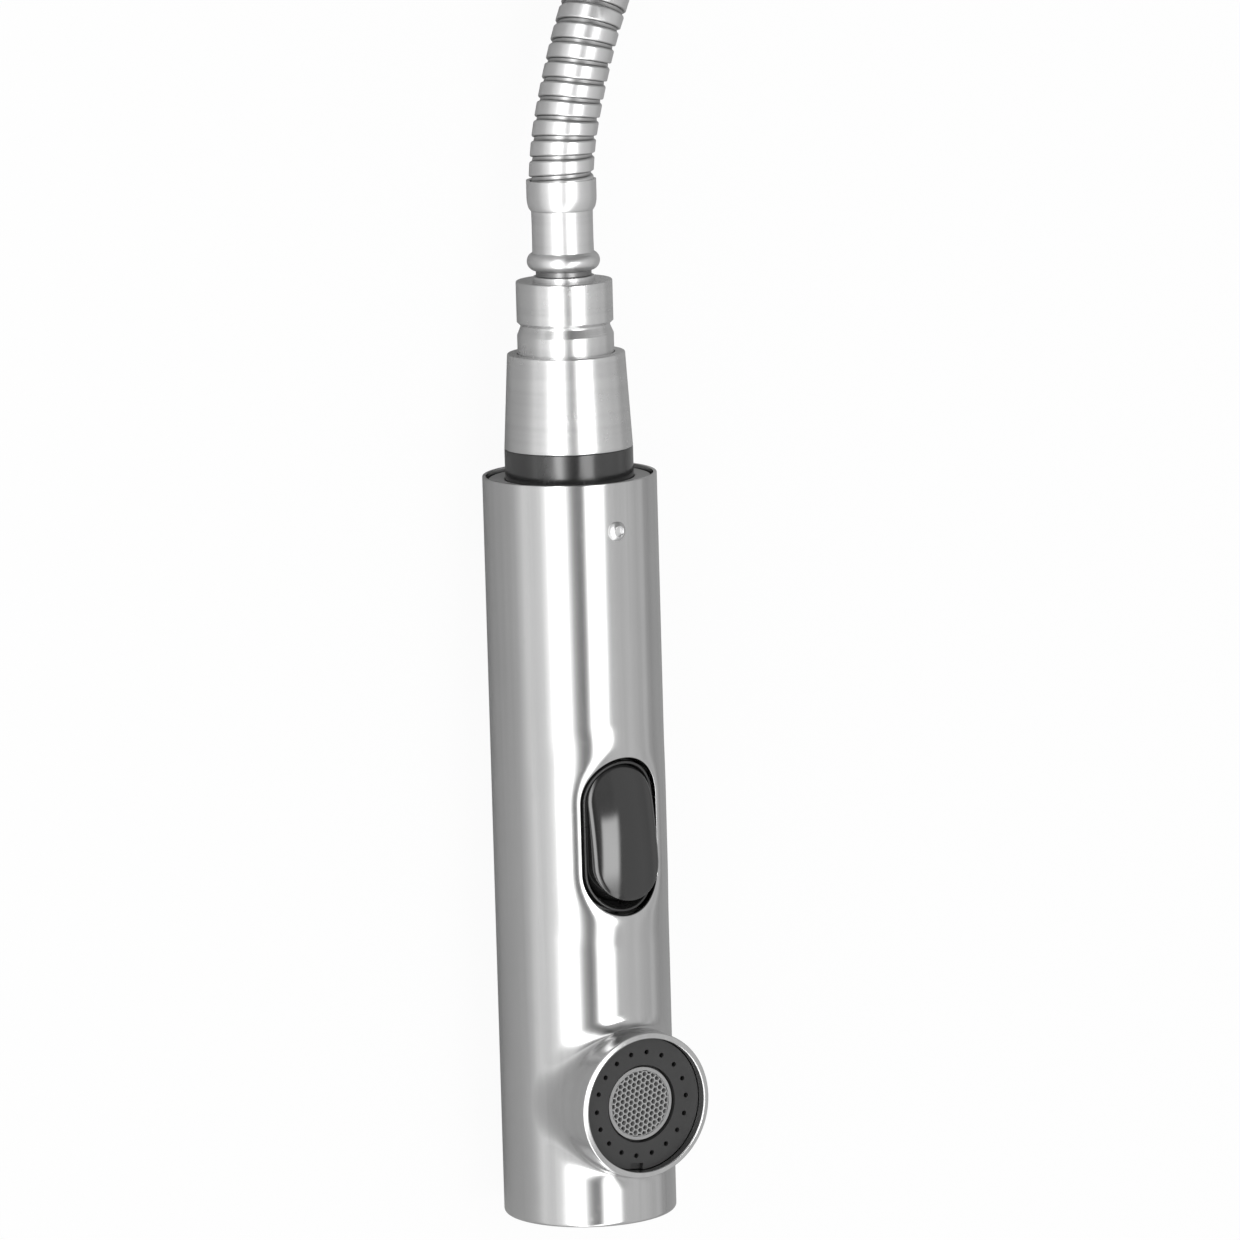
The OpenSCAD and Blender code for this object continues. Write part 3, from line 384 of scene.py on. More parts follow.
gloss_black = moulded("gloss_black", 0.014, 0.06, 1500, 2e-7, ior=1.74, dull=0.05)
satin_black = moulded("satin_black", 0.014, 0.15, 2500, 1e-6, ior=1.85, dull=0.2)
bezel_black = moulded("bezel_black", 0.03, 0.24, 2500, 8e-7, ior=1.55)
charcoal = moulded("charcoal", 0.034, 0.42, 5200, 4e-6, ior=1.45)
grey_plastic = moulded("grey_plastic", 0.3, 0.4, 3500, 2e-6)
comb_grey = moulded("comb_grey", 0.34, 0.38, 3500, 2e-6, drift=0.1)
cup_grey = moulded("cup_grey", 0.31, 0.35, 3500, 2e-6)
disc_grey = moulded("disc_grey", 0.3, 0.42, 1800, 3e-6)
white_plastic = moulded("white_plastic", 0.78, 0.35, 3000, 2e-6, drift=0.03)
rubber = moulded("rubber", 0.016, 0.55, 6000, 4e-6, ior=1.45)

# %% [markdown]
# The hose is one steel strip wound into a tube. Its free length leaves the ferrule
# straight, bends down to the table, and is put away as a hank in line with the
# barrel: two and a half turns on each other, with straight runs and round folds.
# Chosen points carry the free ends, and a formula carries the hank.
# %% The hose's route, in metres
lead = np.array([
    (0, 0.1196, 0.019), (0, 0.1252, 0.019), (0.0008, 0.1327, 0.019), (0.00185, 0.1379, 0.019),
    (0.00317, 0.1431, 0.019), (0.00465, 0.1483, 0.019), (0.00636, 0.1535, 0.0189),
    (0.0085, 0.1587, 0.0185), (0.0112, 0.1639, 0.0177), (0.0172, 0.1745, 0.0149),
    (0.0232, 0.185, 0.0118), (0.0288, 0.1948, 0.0093), (0.0332, 0.2035, 0.0083),
    (0.03705, 0.2136, 0.0081), (0.03985, 0.224, 0.0081), (0.04155, 0.2346, 0.0081),
    (0.0421, 0.2454, 0.0081), (0.0421, 0.2534, 0.0081)])
FOLD_R = 0.0425  # radius of a fold
RUN = 0.115  # straight run between two folds
LAYER = 0.0148  # height from one turn to the next
END = 0.008  # straight piece before and after the hank
HANK_TURNS = 2.5
hank_x, near_y, hank_low = lead[-1] - (FOLD_R, END, 0)
fold_length = math.pi * FOLD_R
turn_length = 2 * (RUN + fold_length)


def hank_point(s):
    """Distance s along the hank. A turn is a run, the far fold, the run back and
    the near fold. On the way back it climbs one layer as a cosine, and is on top
    of itself half way round the near fold."""
    turn = np.floor(s / turn_length)
    k = s - turn * turn_length
    far_fold = np.clip(k - RUN, 0, fold_length)
    near_fold = np.clip(k - 2 * RUN - fold_length, 0, fold_length)
    bend = (far_fold + near_fold) / FOLD_R
    y = near_y + np.minimum(k, RUN) - np.clip(k - RUN - fold_length, 0, RUN)
    climb = np.clip((k - RUN - fold_length) / (RUN + fold_length / 2), 0, 1)
    height = hank_low + LAYER * (turn + (1 - np.cos(math.pi * climb)) / 2)
    return np.stack([hank_x + FOLD_R * np.cos(bend), y + FOLD_R * np.sin(bend), height], -1)


def smooth_curve(points, steps=8):
    """Catmull-Rom: each stretch is a cubic whose slope at a point is half the
    step from the point before it to the point after it."""
    p = np.concatenate([[2 * points[0] - points[1]], points, [2 * points[-1] - points[-2]]])
    a, b, c, d = (p[k:len(p) - 3 + k, None] for k in range(4))
    t = np.arange(steps)[None, :, None] / steps
    square, cube = a - 2.5 * b + 2 * c - d / 2, 1.5 * (b - c) + (d - a) / 2
    curve = b + t * (c - a) / 2 + t**2 * square + t**3 * cube
    return np.concatenate([curve.reshape(-1, 3), points[-1:]])


HEADING = np.array([0, -1, 0])
hank = hank_point(np.linspace(END, HANK_TURNS * turn_length - 1e-9, 900))
hank = np.concatenate([hank, [hank[-1] + END * HEADING]])
rise = np.array([  # how far on, and how much higher
    (0, 0), (8, 0.1), (20, 1), (32, 3.3), (44, 7), (54, 11.1), (66, 15), (78, 17.5),
    (90, 18.5), (97, 18.5), (104, 18.5), (111, 18.5)]) * MM
tail = hank[-1] + rise[:, :1] * HEADING + rise[:, 1:] * Z
route = np.concatenate([smooth_curve(lead), hank, smooth_curve(tail)])
gaps = np.linalg.norm(np.diff(route, axis=0), axis=1)
route = route[np.concatenate([[True], gaps > 1e-7])]
travelled = np.concatenate([[0], np.cumsum(np.linalg.norm(np.diff(route, axis=0), axis=1))])
hose_length = travelled[-1]
print("hose length", round(hose_length, 4), "m")

# %% [markdown]
# One turn of the strip is a flat band with rounded edges and a lower neck. The
# rows of the grid are shifted along the hose as they go round, a whole pitch for
# a whole turn, so the last column of one turn meets the first of the next. Each row
# also says how much painted shade it takes, so the hose's grooves are painted dark.
# A Screw modifier could wind the strip on a straight hose, but not along a route.
# %% The wound strip
PITCH = 4.08  # one turn of the strip along the hose
strip = np.array([  # distance, radius, painted groove shade
    (0.0, 6.28, 1), (0.06, 6.86, 0.6), (0.3, 7.05, 0), (2.72, 7.05, 0), (3.02, 6.9, 0.4),
    (3.3, 6.5, 1), (3.92, 6.42, 0.35)])
END_R = 6.9  # outer radius where the strip is cut off
HOLE_R = 4.8  # the hose's waterway
LOOK = 0.0012  # metres before and after a point that give its direction


def on_route(s):
    """The point at distance s in metres along the route."""
    return np.stack([np.interp(s, travelled, route[:, k]) for k in range(3)], -1)


def tube(s, v, radius):
    """Point = route(s) + radius * (cos v * side + sin v * up), s and radius in mm."""
    s = np.clip(s, 0, hose_length * METRE) / METRE
    ahead = on_route(s + LOOK) - on_route(s - LOOK)
    ahead /= np.linalg.norm(ahead, axis=-1, keepdims=True)
    side = np.cross(ahead, Z)
    side /= np.linalg.norm(side, axis=-1, keepdims=True)
    up = np.cross(side, ahead)
    return on_route(s) * METRE + radius * (np.cos(v)[:, None] * side + np.sin(v)[:, None] * up)


def wound_tube(sides=28, levels=380):
    """The strip's rows, shifted by pitch * v / 2 pi at angle v, the smooth wall
    inside and a ring at each end, and the painted groove shade of every grid point."""
    length = hose_length * METRE
    turns = math.ceil(length / PITCH) + 1
    s = (np.arange(turns)[:, None] * PITCH + strip[None, :, 0]).reshape(-1)
    r = np.tile(strip[:, 1], turns)
    v = np.linspace(0, 2 * math.pi, sides + 1)
    shifted = s[:, None] - PITCH * v / (2 * math.pi)
    inside = (shifted > 0) & (shifted < length)
    outer = tube(shifted, v, np.where(inside, r[:, None], END_R)[..., None])
    level = np.linspace(0, length, levels)[:, None] + 0 * v
    rim, inner = tube(level, v, END_R), tube(level, v, HOLE_R)
    rings = [np.stack([rim[k], inner[k]]) for k in (0, -1)]
    # Painted shade: each strip point takes its row's groove darkening; the inner wall and end rings take
    # none.
    grime = np.repeat(np.tile(strip[:, 2], turns), sides + 1)
    unshaded = np.zeros(sum(g.size // 3 for g in (inner, *rings)))
    return [outer, inner, *rings], np.append(grime, unshaded)


hose_grids, hose_groove_shade = wound_tube()
hose = make_piece("steel_hose", hose_grids, hose_steel, "hose_assembly",
                  ["hose_lead", "hose_coil", "hose_tail"], 24, hose_groove_shade)

# %% [markdown]
# Both ends of the hose sit in a ferrule, a steel cup crimped on, with a soft
# shoulder. It is a turned shape; only its shoulder is bent along an ellipse.
# %% Ferrules
def turned(name, outline, material, solid, body="handset", axis=barrel_axis):
    """A piece whose skin is its outline spun round an axis."""
    return make_piece(name, [spin(axis, outline)], material, body, [solid])


def ferrule_outline():
    """Closed outline of the crimped cup, 0 at its shoulder, which is a quarter of
    an ellipse: r = 6.6 + sqrt(1 - (1 - t / 3)^2)."""
    outer, inner, hole, lip = 7.6, 7.16, 6.72, 6.35
    shoulder = 3
    side = [(outer, t) for t in (0.08, 0.3, 0.6, 1.0, 1.5, 2.2, shoulder)]
    outline = rounded([
        (hole, 0.0), *side, (outer, 6.8, 0.45), (lip, 6.55, 0.1), (lip, 5.9), (inner, 5.9),
        (inner, 1.2), (hole, 1.2)], True, 6)
    r, t = outline.T
    soft = np.clip((shoulder - t) / shoulder, 0, 1)
    bent = np.where(r > 7.2, outer - 1 + np.sqrt(1 - soft**2), r)
    return np.stack([np.maximum(bent, hole), t], -1)


far_axis = (tail[-1] * METRE, np.cross(Z, HEADING), Z, HEADING)
near_ferrule = turned(
    "near_ferrule_skin", ferrule_outline() + np.array([0, 221.6]), polished_steel,
    "near_ferrule", "hose_assembly")
far_ferrule = turned(
    "far_ferrule_skin", np.array([0, 1.2]) + ferrule_outline() * np.array([1, -1]), polished_steel,
    "far_ferrule", "hose_assembly", far_axis)

# %% [markdown]
# The fittings are turned from bar. The near one carries a round bead, and its
# journal turns inside the connector nut; the far one has a flange, over which the
# supply nut sits. The groove under the bead is painted dark as shade.
# %% Fittings
WATERWAY = 3.3  # radii of both fittings
BARB = 4.1
JOURNAL = 6.7
FLANGE = 8.5
BEAD_R = 2.1  # how round the bead is
around = np.radians(np.linspace(-84, 66, 15))
bead = zip(5.85 + BEAD_R * np.cos(around), 210.6 + BEAD_R * np.sin(around))
swivel_outline = rounded([
    (WATERWAY, 188.5), (6.2, 188.5, 0.2), (6.2, 190.4), (FLANGE, 190.4, 0.2), (FLANGE, 196.3, 0.2),
    (JOURNAL, 196.3), (JOURNAL, 200.4), (5.45, 200.4), (5.45, 202.0), (JOURNAL, 202.0),
    (JOURNAL, 207.3, 0.12), (6.05, 207.5, 0.1), (6.05, 208.35), *bead, (6.66, 215.2), (6.66, 219.2),
    (JOURNAL, 222.7), (BARB, 222.7), (BARB, 230.8, 0.3), (WATERWAY, 230.8)], True, 5)
# Painted shade: points in the groove under the bead are marked to be painted darker.
under_bead = (swivel_outline[:, 0] < 6.2) & (abs(swivel_outline[:, 1] - 208) < 0.9)
swivel_grid = spin(barrel_axis, swivel_outline)
swivel = make_piece("swivel_skin", [swivel_grid], satin_steel, "hose_assembly",
                    ["swivel_fitting"], grime=np.repeat(under_bead * 1.0, swivel_grid.shape[1]))
far_outline = rounded([
    (WATERWAY, -8), (BARB, -8, 0.3), (BARB, 0.1), (JOURNAL, 0.1), (JOURNAL, 8.1), (FLANGE, 8.1, 0.2),
    (FLANGE, 10.3, 0.2), (WATERWAY, 10.3)], True)
far_fitting = turned("far_fitting_skin", far_outline, turned_steel, "far_fitting",
                     "hose_assembly", far_axis)

# %% [markdown]
# The supply nut is gripped by hand, so twenty flutes run along it. A flute is a
# round scoop: its depth falls off as a circle across and runs out at both ends.
# Twenty cylinders could be cut out of it one by one; lowering the grid is simpler.
# %% Supply nut
NUT_R = 13
FLUTES = 20
SCOOP_R = 0.9


def fluted_nut():
    """The nut's outline spun round, with r lowered by the scoop's depth, which is
    sqrt(0.9^2 - across^2) - 0.35, times the square root of a ramp at each end."""
    outline = rounded([
        (6.8, 3.9), (NUT_R, 3.9, 0.7), (NUT_R, 5.2), (NUT_R, 6.6), (NUT_R, 17.2), (NUT_R, 18.6),
        (NUT_R, 19.9, 0.7), (10.5, 19.9, 0.5), (10.5, 12.6), (11, 12.6), (11, 7.9), (6.8, 7.9)], True)
    columns = FLUTES * 16
    turn = np.linspace(0, 2 * math.pi, columns + 1)
    half = math.pi / FLUTES
    across = NUT_R * (np.mod(turn + half, 2 * half) - half)
    scoop = np.clip(np.sqrt(np.clip(SCOOP_R**2 - across**2, 0, None)) - 0.35, 0, None)
    r, t = outline.T
    low, high, ramp = 5.4, 18.4, 1.4
    reach = np.clip((t - low) / ramp, 0, 1) * np.clip((high - t) / ramp, 0, 1) * (r > 12.9)
    spoke = np.sin(turn)[:, None] * far_axis[1] + np.cos(turn)[:, None] * far_axis[2]
    return spin(far_axis, outline, columns) - (np.sqrt(reach)[:, None] * scoop)[..., None] * spoke


supply_nut = make_piece("supply_nut_skin", [fluted_nut()], turned_steel, "supply_nut_body",
                        ["supply_nut"])

# %% [markdown]
# The hank is held by a woven strap. Its skin is a rounded band carried once round
# one side of the hank, with ridges from the weave in its material. A cloth
# simulation could pull it tight, but round a stiff hose it ends up as this shape.
# %% Strap
def strap_band(steps=17):
    """A rounded band section carried round two half circles and two sides."""
    turn = np.radians([*np.linspace(-180, 0, steps), *np.linspace(0, 180, steps), 180])
    level = np.array([hank_low] * steps + [hank_low + 2 * LAYER] * steps + [hank_low]) * METRE
    inner, outer, half = 7.36, 8.05, 6
    section = rounded([
        (inner, -half, 0.2), (outer, -half, 0.25), (outer, half, 0.25), (inner, half, 0.2)], True)
    out = section[:, :1]
    along = near_y * METRE + RUN * METRE / 2 + section[:, 1:] + 0 * turn
    middle = lead[-1, 0] * METRE
    return np.stack([middle + out * np.cos(turn), along, level + out * np.sin(turn)], -1)


def woven(name, tone):
    """Strap webbing: two crossed waves lift every other thread."""
    material, sheet = new_sheet(name)
    wave = {"Vector": sheet.node("TexCoord", out=3), "Scale": 520, "Distortion": 0.4, "Detail": 2}
    warp = sheet.node("TexWave", {"bands_direction": "DIAGONAL"}, wave)
    weft = sheet.node("TexWave", {"bands_direction": "Z"}, wave)
    weave = warp * weft
    cloud = noise(sheet, (200, 200, 200))
    surface = sheet.node("BsdfPrincipled", None, {
        "Base Color": sheet.blend(weave * 0.6 + cloud * 0.4, grey(tone * 0.6), grey(tone * 1.6)),
        "Roughness": 0.7 + cloud * 0.2,
        "Sheen Weight": 0.3,
        "Normal": bump(sheet, weave, 6e-5)})
    finish_with(name, sheet, surface)
    return material


strap = make_piece("hank_strap", [strap_band()], woven("strap_black", 0.03), "hose_assembly",
                   ["coil_tie"])

# %% [markdown]
# The route of the hose ends up as a list of points, and their number is printed.
# %% Points on the hose route
print("cord from", len(route), "points")

# %% [markdown]
# The barrel is one drawn shell: a tube whose wall swells round the button's oval
# window and runs up into the outlet's collar. Its skin is pieced from grids in the
# unrolled tube, U across and t along. Round the window and the collar the grid
# lines circle the hole and fan out to a rectangle, whose points its neighbours
# share. A Boolean would cut the holes too, but leaves ragged faces beside them.
# %% Barrel grid
R_OUT = 19.0  # the tube's outer radius
R_IN = 18.2  # its inner radius
BARREL_L = 164  # its length
COLLAR = 16.1  # the collar's outer radius
BORE = 14.75  # its inner radius
RIM = 24.9  # its rim above the barrel's axis
OUTLET_T = 27.5  # middle of the outlet from the closed end
BUTTON_T = 86.2  # middle of the button
HALF_U = R_OUT * math.radians(82)
OUTLET_LOW, OUTLET_HIGH = 4, 51
BUTTON_LOW, BUTTON_HIGH = 60.2, 112.2
OPEN_LOW = 162.6
columns = np.linspace(-HALF_U, HALF_U, 43)
back_columns = np.linspace(HALF_U, 2 * math.pi * R_OUT - HALF_U, 57)
rows_outlet = np.linspace(OUTLET_LOW, OUTLET_HIGH, 21)
rows_between = np.linspace(OUTLET_HIGH, BUTTON_LOW, 5)
rows_button = np.linspace(BUTTON_LOW, BUTTON_HIGH, 27)
rows_top = np.linspace(BUTTON_HIGH, OPEN_LOW, 25)
rows_all = np.concatenate([rows_outlet, rows_between[1:], rows_button[1:], rows_top[1:]])


def on_tube(u, t, r):
    """Rolls the flat drawing up: angle = U / 19, at radius r round the axis."""
    angle = u / R_OUT
    return place(barrel_axis, r * np.sin(angle), r * np.cos(angle), t + 0 * angle)


def border(rows):
    """The rectangle's edge points in order, the first repeated at the end."""
    up, down = rows[1:], rows[-2::-1]
    right_side, left_side = np.full(len(up), columns[-1]), np.full(len(down), columns[0])
    u = np.concatenate([columns, right_side, columns[-2::-1], left_side])
    t = np.concatenate([np.full(len(columns), rows[0]), up, np.full(len(columns) - 1, rows[-1]), down])
    return u, t


def fan(inner_u, inner_t, rows, steps, power=1.5):
    """Lines from a hole's edge to the rectangle, closer together at the hole."""
    u, t = border(rows)
    share = (np.linspace(0, 1, steps + 1) ** power)[:, None]
    return inner_u + (u - inner_u) * share, inner_t + (t - inner_t) * share


print("barrel rows", len(rows_all), "columns", len(columns) + len(back_columns) - 1)

# %% [markdown]
# Where the collar meets the tube, a fillet leaves the wall upright and lands along
# the tube. A quadratic curve does this if its middle point lies on the wall's line
# and in the plane that touches the tube at the landing point. The rim falls off a
# little outwards, and its inner edge is rounded, so both catch a line of light.
# %% Outlet collar
RIM_FALL = 0.28
RIM_OUTSIDE = 0.9  # how far down the rim's outline goes outside
RIM_INSIDE = 1.3  # and inside


def collar_grids():
    """Wall, fillet, rim and bore for each direction v round the collar, and the
    fans that join them to the outer and the inner face of the tube."""
    u, t = border(rows_outlet)
    v = np.arctan2(u, t - OUTLET_T)
    x, y = COLLAR * np.sin(v), OUTLET_T + COLLAR * np.cos(v)
    fillet_out, fillet_up = 3.4 + 0.8 * np.sin(v) ** 2, 2.6 + 1.6 * np.sin(v) ** 2
    slope = np.sqrt(1 - (x / R_OUT) ** 2)
    normal = np.stack([COLLAR * np.sin(v), COLLAR * np.cos(v) / slope])
    normal /= np.linalg.norm(normal, axis=0)
    land_u = R_OUT * np.arcsin(x / R_OUT) + fillet_out * normal[0]
    land_t = y + fillet_out * normal[1]
    angle = land_u / R_OUT
    knee_h = (R_OUT - np.sin(angle) * x) / np.cos(angle)

    def wall(h):
        return place(barrel_axis, x + 0 * h, h + 0 * x, y + 0 * h)

    s = np.linspace(0, 1, 10)[:, None, None]
    start, knee, landing = wall(knee_h + fillet_up), wall(knee_h), on_tube(land_u, land_t, R_OUT)
    fillet = (1 - s) ** 2 * start + 2 * s * (1 - s) * knee + s**2 * landing
    climb = np.linspace(0, 1, 7)[:, None]
    outer_wall = wall(knee_h + fillet_up + (RIM - RIM_OUTSIDE - knee_h - fillet_up) * climb)
    edge = rounded([(COLLAR, RIM - RIM_OUTSIDE), (COLLAR, RIM - RIM_FALL, 0.3), (BORE, RIM, 0.32),
                    (BORE, RIM - RIM_INSIDE)], steps=6, hold=0.05)
    r, h = edge[:, :1], edge[:, 1:]
    rim = place(barrel_axis, r * np.sin(v), h + 0 * v, OUTLET_T + r * np.cos(v))
    bore_x, bore_t = BORE * np.sin(v), OUTLET_T + BORE * np.cos(v)
    foot = np.sqrt(R_IN**2 - bore_x**2)
    depth = RIM - RIM_INSIDE + (foot - RIM + RIM_INSIDE) * climb
    bore = place(barrel_axis, bore_x + 0 * depth, depth, bore_t + 0 * depth)
    skirt = on_tube(*fan(land_u, land_t, rows_outlet, 10, 1.3), R_OUT)
    lining = on_tube(*fan(R_OUT * np.arcsin(bore_x / R_IN), bore_t, rows_outlet, 8), R_IN)
    return [fillet, outer_wall, rim, bore, skirt, lining]


collar = collar_grids()
print("collar", sum(g.size // 3 for g in collar), "points")

# %% [markdown]
# The button's window is cut in the barrel's wall, an oval seen from above. Its edge
# is rolled in, and the press leaves a shoulder round it that is a fifth of a
# millimetre high: too low to see, but it bends the reflections beside the button.
# %% Button window
WINDOW_W, WINDOW_L = 9.6, 17.4  # half of its width and of its length
LIP_U = 10.1  # half of its width along the wall
WINDOW_X = 0.15  # how far it sits off the middle
WALL = 0.8
SWELL, SHOULDER, DIP = 0.2, 2.6, 0.35
ROLL = 0.25  # radius of the rolled edge


def oval(v, half_w, half_l):
    """Where a ray from the centre in direction v meets an oval with straight sides."""
    s, c = np.sin(v), np.cos(v)
    straight = half_l - half_w
    cap = straight * abs(c) + np.sqrt(np.clip(half_w**2 - (straight * s) ** 2, 0, None))
    flat = half_w / np.clip(abs(s), 1e-9, None)
    reach = np.where(flat * abs(c) <= straight, flat, cap)
    return reach * s, reach * c


def swell(u, t):
    """Radius of the wall: 19 far off, 0.2 more on the shoulder 2.6 from the edge,
    and less again at the edge by 0.35 times a square that dies out on the way."""
    straight = WINDOW_L - LIP_U
    beside = t - BUTTON_T - np.clip(t - BUTTON_T, -straight, straight)
    far = np.hypot(u - WINDOW_X, beside)
    across = u / np.clip(far, 1e-9, None)
    off = np.clip(far - LIP_U, 0, None)
    fall = np.clip((off - SHOULDER) / (5.2 + 7.2 * across**2), 0, 1)
    dip = DIP * np.clip(1 - off / SHOULDER, 0, 1) ** 2
    return R_OUT + SWELL * (1 - fall * fall * (3 - 2 * fall)) - dip


def over(x, y, thick):
    """U and t on the wall above the point x, y: angle = arcsin(x / radius)."""
    u, t = R_OUT * np.arcsin(x / R_OUT), BUTTON_T + y
    for _ in range(12):
        u = R_OUT * np.arcsin(x / (swell(u, t) - thick))
    return u, t


def window_grids():
    """The wall round the window, its rolled edge, the cut face and the lining."""
    u, t = border(rows_button)
    v = np.arctan2((u - WINDOW_X) * WINDOW_W / LIP_U, t - BUTTON_T)

    def edge(wider, thick):
        x, y = oval(v, WINDOW_W + wider, WINDOW_L + wider)
        return over(x + WINDOW_X, y, thick)

    rolls = []
    for lean in np.radians(np.linspace(0, 90, 5)):
        u, t = edge(ROLL * (1 - math.sin(lean)), 0)
        rolls.append(on_tube(u, t, swell(u, t)) - np.array([0, 0, ROLL * (1 - math.cos(lean))]))
    u, t = fan(*edge(ROLL, 0), rows_button, 20, 1.25)
    outside = on_tube(u, t, swell(u, t))
    u, t = fan(*edge(0, WALL), rows_button, 10)
    lining = on_tube(u, t, swell(u, t) - WALL)
    return [outside, np.stack(rolls), np.stack([rolls[-1], lining[0]]), lining]


window = window_grids()
print("window", sum(g.size // 3 for g in window), "points")

# %% [markdown]
# The shell itself is both skins of the tube, its two rounded ends, and the collar
# and window just described. All share their border points, so the weld leaves no
# open edge, and the whole shell can be given one brushed finish.
# %% Barrel shell
def strip_grid(u, t, r):
    """A rectangle of the unrolled tube at one radius."""
    return on_tube(u[None, :] + 0 * t[:, None], t[:, None] + 0 * u[None, :], r)


def end_grid(outline):
    """An end's outline carried round the tube over all columns."""
    u = np.concatenate([columns, back_columns[1:]])
    return on_tube(u[None, :] + 0 * outline[:, 1:], outline[:, 1:] + 0 * u, outline[:, :1])


closed_end = rounded([(R_OUT, OUTLET_LOW), (R_OUT, 0, 0.75), (R_IN, 0), (R_IN, OUTLET_LOW)], steps=6)
open_end = rounded([(R_OUT, OPEN_LOW), (R_OUT, BARREL_L, 0.22), (R_IN, BARREL_L, 0.22), (R_IN, OPEN_LOW)],
                   steps=4, hold=0.05)
shell = [end_grid(closed_end), end_grid(open_end)]
for radius in (R_OUT, R_IN):
    for u, t in ((back_columns, rows_all), (columns, rows_between), (columns, rows_top)):
        shell.append(strip_grid(u, t, radius))
make_piece("barrel_shell", shell + collar + window, brushed_steel, "handset", ["outer_tube"])

# %% [markdown]
# A pressed cap closes one end of the barrel. The other end has a plastic disc with
# a rubber ring round it. All three are turned shapes, so an outline is enough.
# %% Cap, disc and ring
cap_outline = rounded([
    (0, 0.12), (17.3, 0.12), (17.75, 0, 0.3), (18.14, 0.1, 0.1), (18.14, 5.2, 0.2), (17.15, 5.2),
    (17.15, 1.2), (0, 1.2)])
disc_outline = rounded([(14.15, 160.8), (17.65, 160.8), (17.65, 163.2, 0.25), (14.15, 163.2, 0.2)], True)
ring_outline = rounded([
    (17.7, 160.7, 0.15), (18.13, 160.7, 0.15), (18.13, 163.0, 0.2), (17.7, 163.0, 0.2)], True)
turned("end_cap_skin", cap_outline, end_steel, "base_cap")
turned("end_disc_skin", disc_outline, disc_grey, "end_disc")
turned("rim_seal_skin", ring_outline, rubber, "rim_seal")

# %% [markdown]
# The inlet is the black moulding that carries the water in. Its neck comes out of
# the disc, under a tapered steel sleeve and the grooved connector nut, in which the
# swivel fitting turns.
# %% Inlet, sleeve and nut
inlet_outline = rounded([
    (7.2, 109.65), (7.9, 109.65), (7.9, 110.9), (9.5, 110.9), (9.5, 109.65), (10, 109.65, 0.3),
    (10, 113.65, 0.3), (7, 113.65), (7, 146.65), (17.9, 146.65, 0.3), (17.9, 160.65), (14, 160.65),
    (14, 169.8, 0.2), (10.35, 169.8), (10.35, 186, 0.3), (7.15, 186), (7.15, 168.1), (4.6, 168.1),
    (4.6, 111.85), (7.2, 111.85)], True)
sleeve_outline = rounded([
    (12.05, 169.8), (14.0, 169.8, 0.2), (12.82, 190.6, 0.35), (10.65, 190.6, 0.1), (10.65, 188.8),
    (12.05, 188.8)], True)
nut_outline = rounded([
    (10.5, 172), (11.9, 172), (11.9, 188.65), (10.5, 188.65), (10.5, 194.6, 0.15), (9.75, 196.4, 0.15),
    (9.75, 196.8, 0.1), (10.5, 197.5, 0.15), (10.5, 206.4, 0.35), (6.75, 206.4, 0.2), (6.75, 196.6),
    (8.8, 196.6), (8.8, 188.4), (10.5, 188.4)], True)
turned("inlet_skin", inlet_outline, satin_black, "inlet_body")
turned("cone_sleeve_skin", sleeve_outline, turned_steel, "cone_sleeve")
turned("connector_nut_skin", nut_outline, turned_steel, "connector_nut")

# %% [markdown]
# A small screw with a domed head and a six-sided socket goes through the barrel's
# wall into the inlet. The socket isn't round, so its rows start from a hexagon and
# turn into circles on the way to the head's edge.
# %% Screw
def screw_skin():
    """Polar rows from the socket's floor up its six walls, over the dome and down
    the shank. The socket's edge is 0.96 / cos(angle from the middle of a side)."""
    turn = np.linspace(0, 2 * math.pi, 73)
    hexagon = 0.96 / np.cos(np.mod(turn, math.pi / 3) - math.pi / 6)
    head_r, head_h, top = 2.15, 1.4, 20.4
    dome = (head_r**2 + head_h**2) / (2 * head_h)
    floor, under, tip, shank = 19.5, 18.75, 9.0, 1.4

    def cap(r):
        return top - dome + np.sqrt(dome**2 - r**2)

    rows = [(0 * turn, floor), (0.6 * hexagon, floor), (hexagon, floor), (hexagon, cap(1.15) - 0.08),
            (hexagon + 0.1, cap(1.2))]
    for s in (0.25, 0.5, 0.75, 0.92):
        r = hexagon * (1 - s) + 2.1 * s
        rows.append((r, cap(r)))
    for r, z in ((2.13, 19.08), (2.13, under), (shank, under), (shank, tip), (0, tip)):
        rows.append((0 * turn + r, z))
    r = np.stack([row[0] for row in rows])
    z = np.stack([row[1] + 0 * turn for row in rows])
    return place(upright(153.4), r * np.sin(turn), r * np.cos(turn), z)


make_piece("screw_skin", [screw_skin()], polished_steel, "handset", ["retaining_screw"])

# %% [markdown]
# The button sits in a black bezel, a frame with straight sides and round ends. An
# outline of (offset, height) is carried round such an oval, as a lathe would carry
# it round a circle. The bezel stands in a narrow dark groove, and its top follows
# the barrel and slopes in to the rocker.
# %% Bezel
def round_oval(half_l, half_w, offset, cap=26, straight=10):
    """Points of an oval pushed out by offset, starting on its right side."""
    run = half_l - half_w
    bend = np.linspace(0, math.pi, cap + 1)
    side = np.linspace(-run, run, straight + 1)
    flat = np.ones(straight + 1)
    core = np.concatenate([side, np.full(cap + 1, run), side[::-1], np.full(cap + 1, -run)])
    out_x = np.concatenate([flat, np.cos(bend), -flat, -np.cos(bend)])
    out_y = np.concatenate([0 * flat, np.sin(bend), 0 * flat, -np.sin(bend)])
    core, out_x, out_y = (np.append(a, a[0]) for a in (core, out_x, out_y))
    reach = half_w + np.asarray(offset)[..., None]
    return reach * out_x, core + reach * out_y


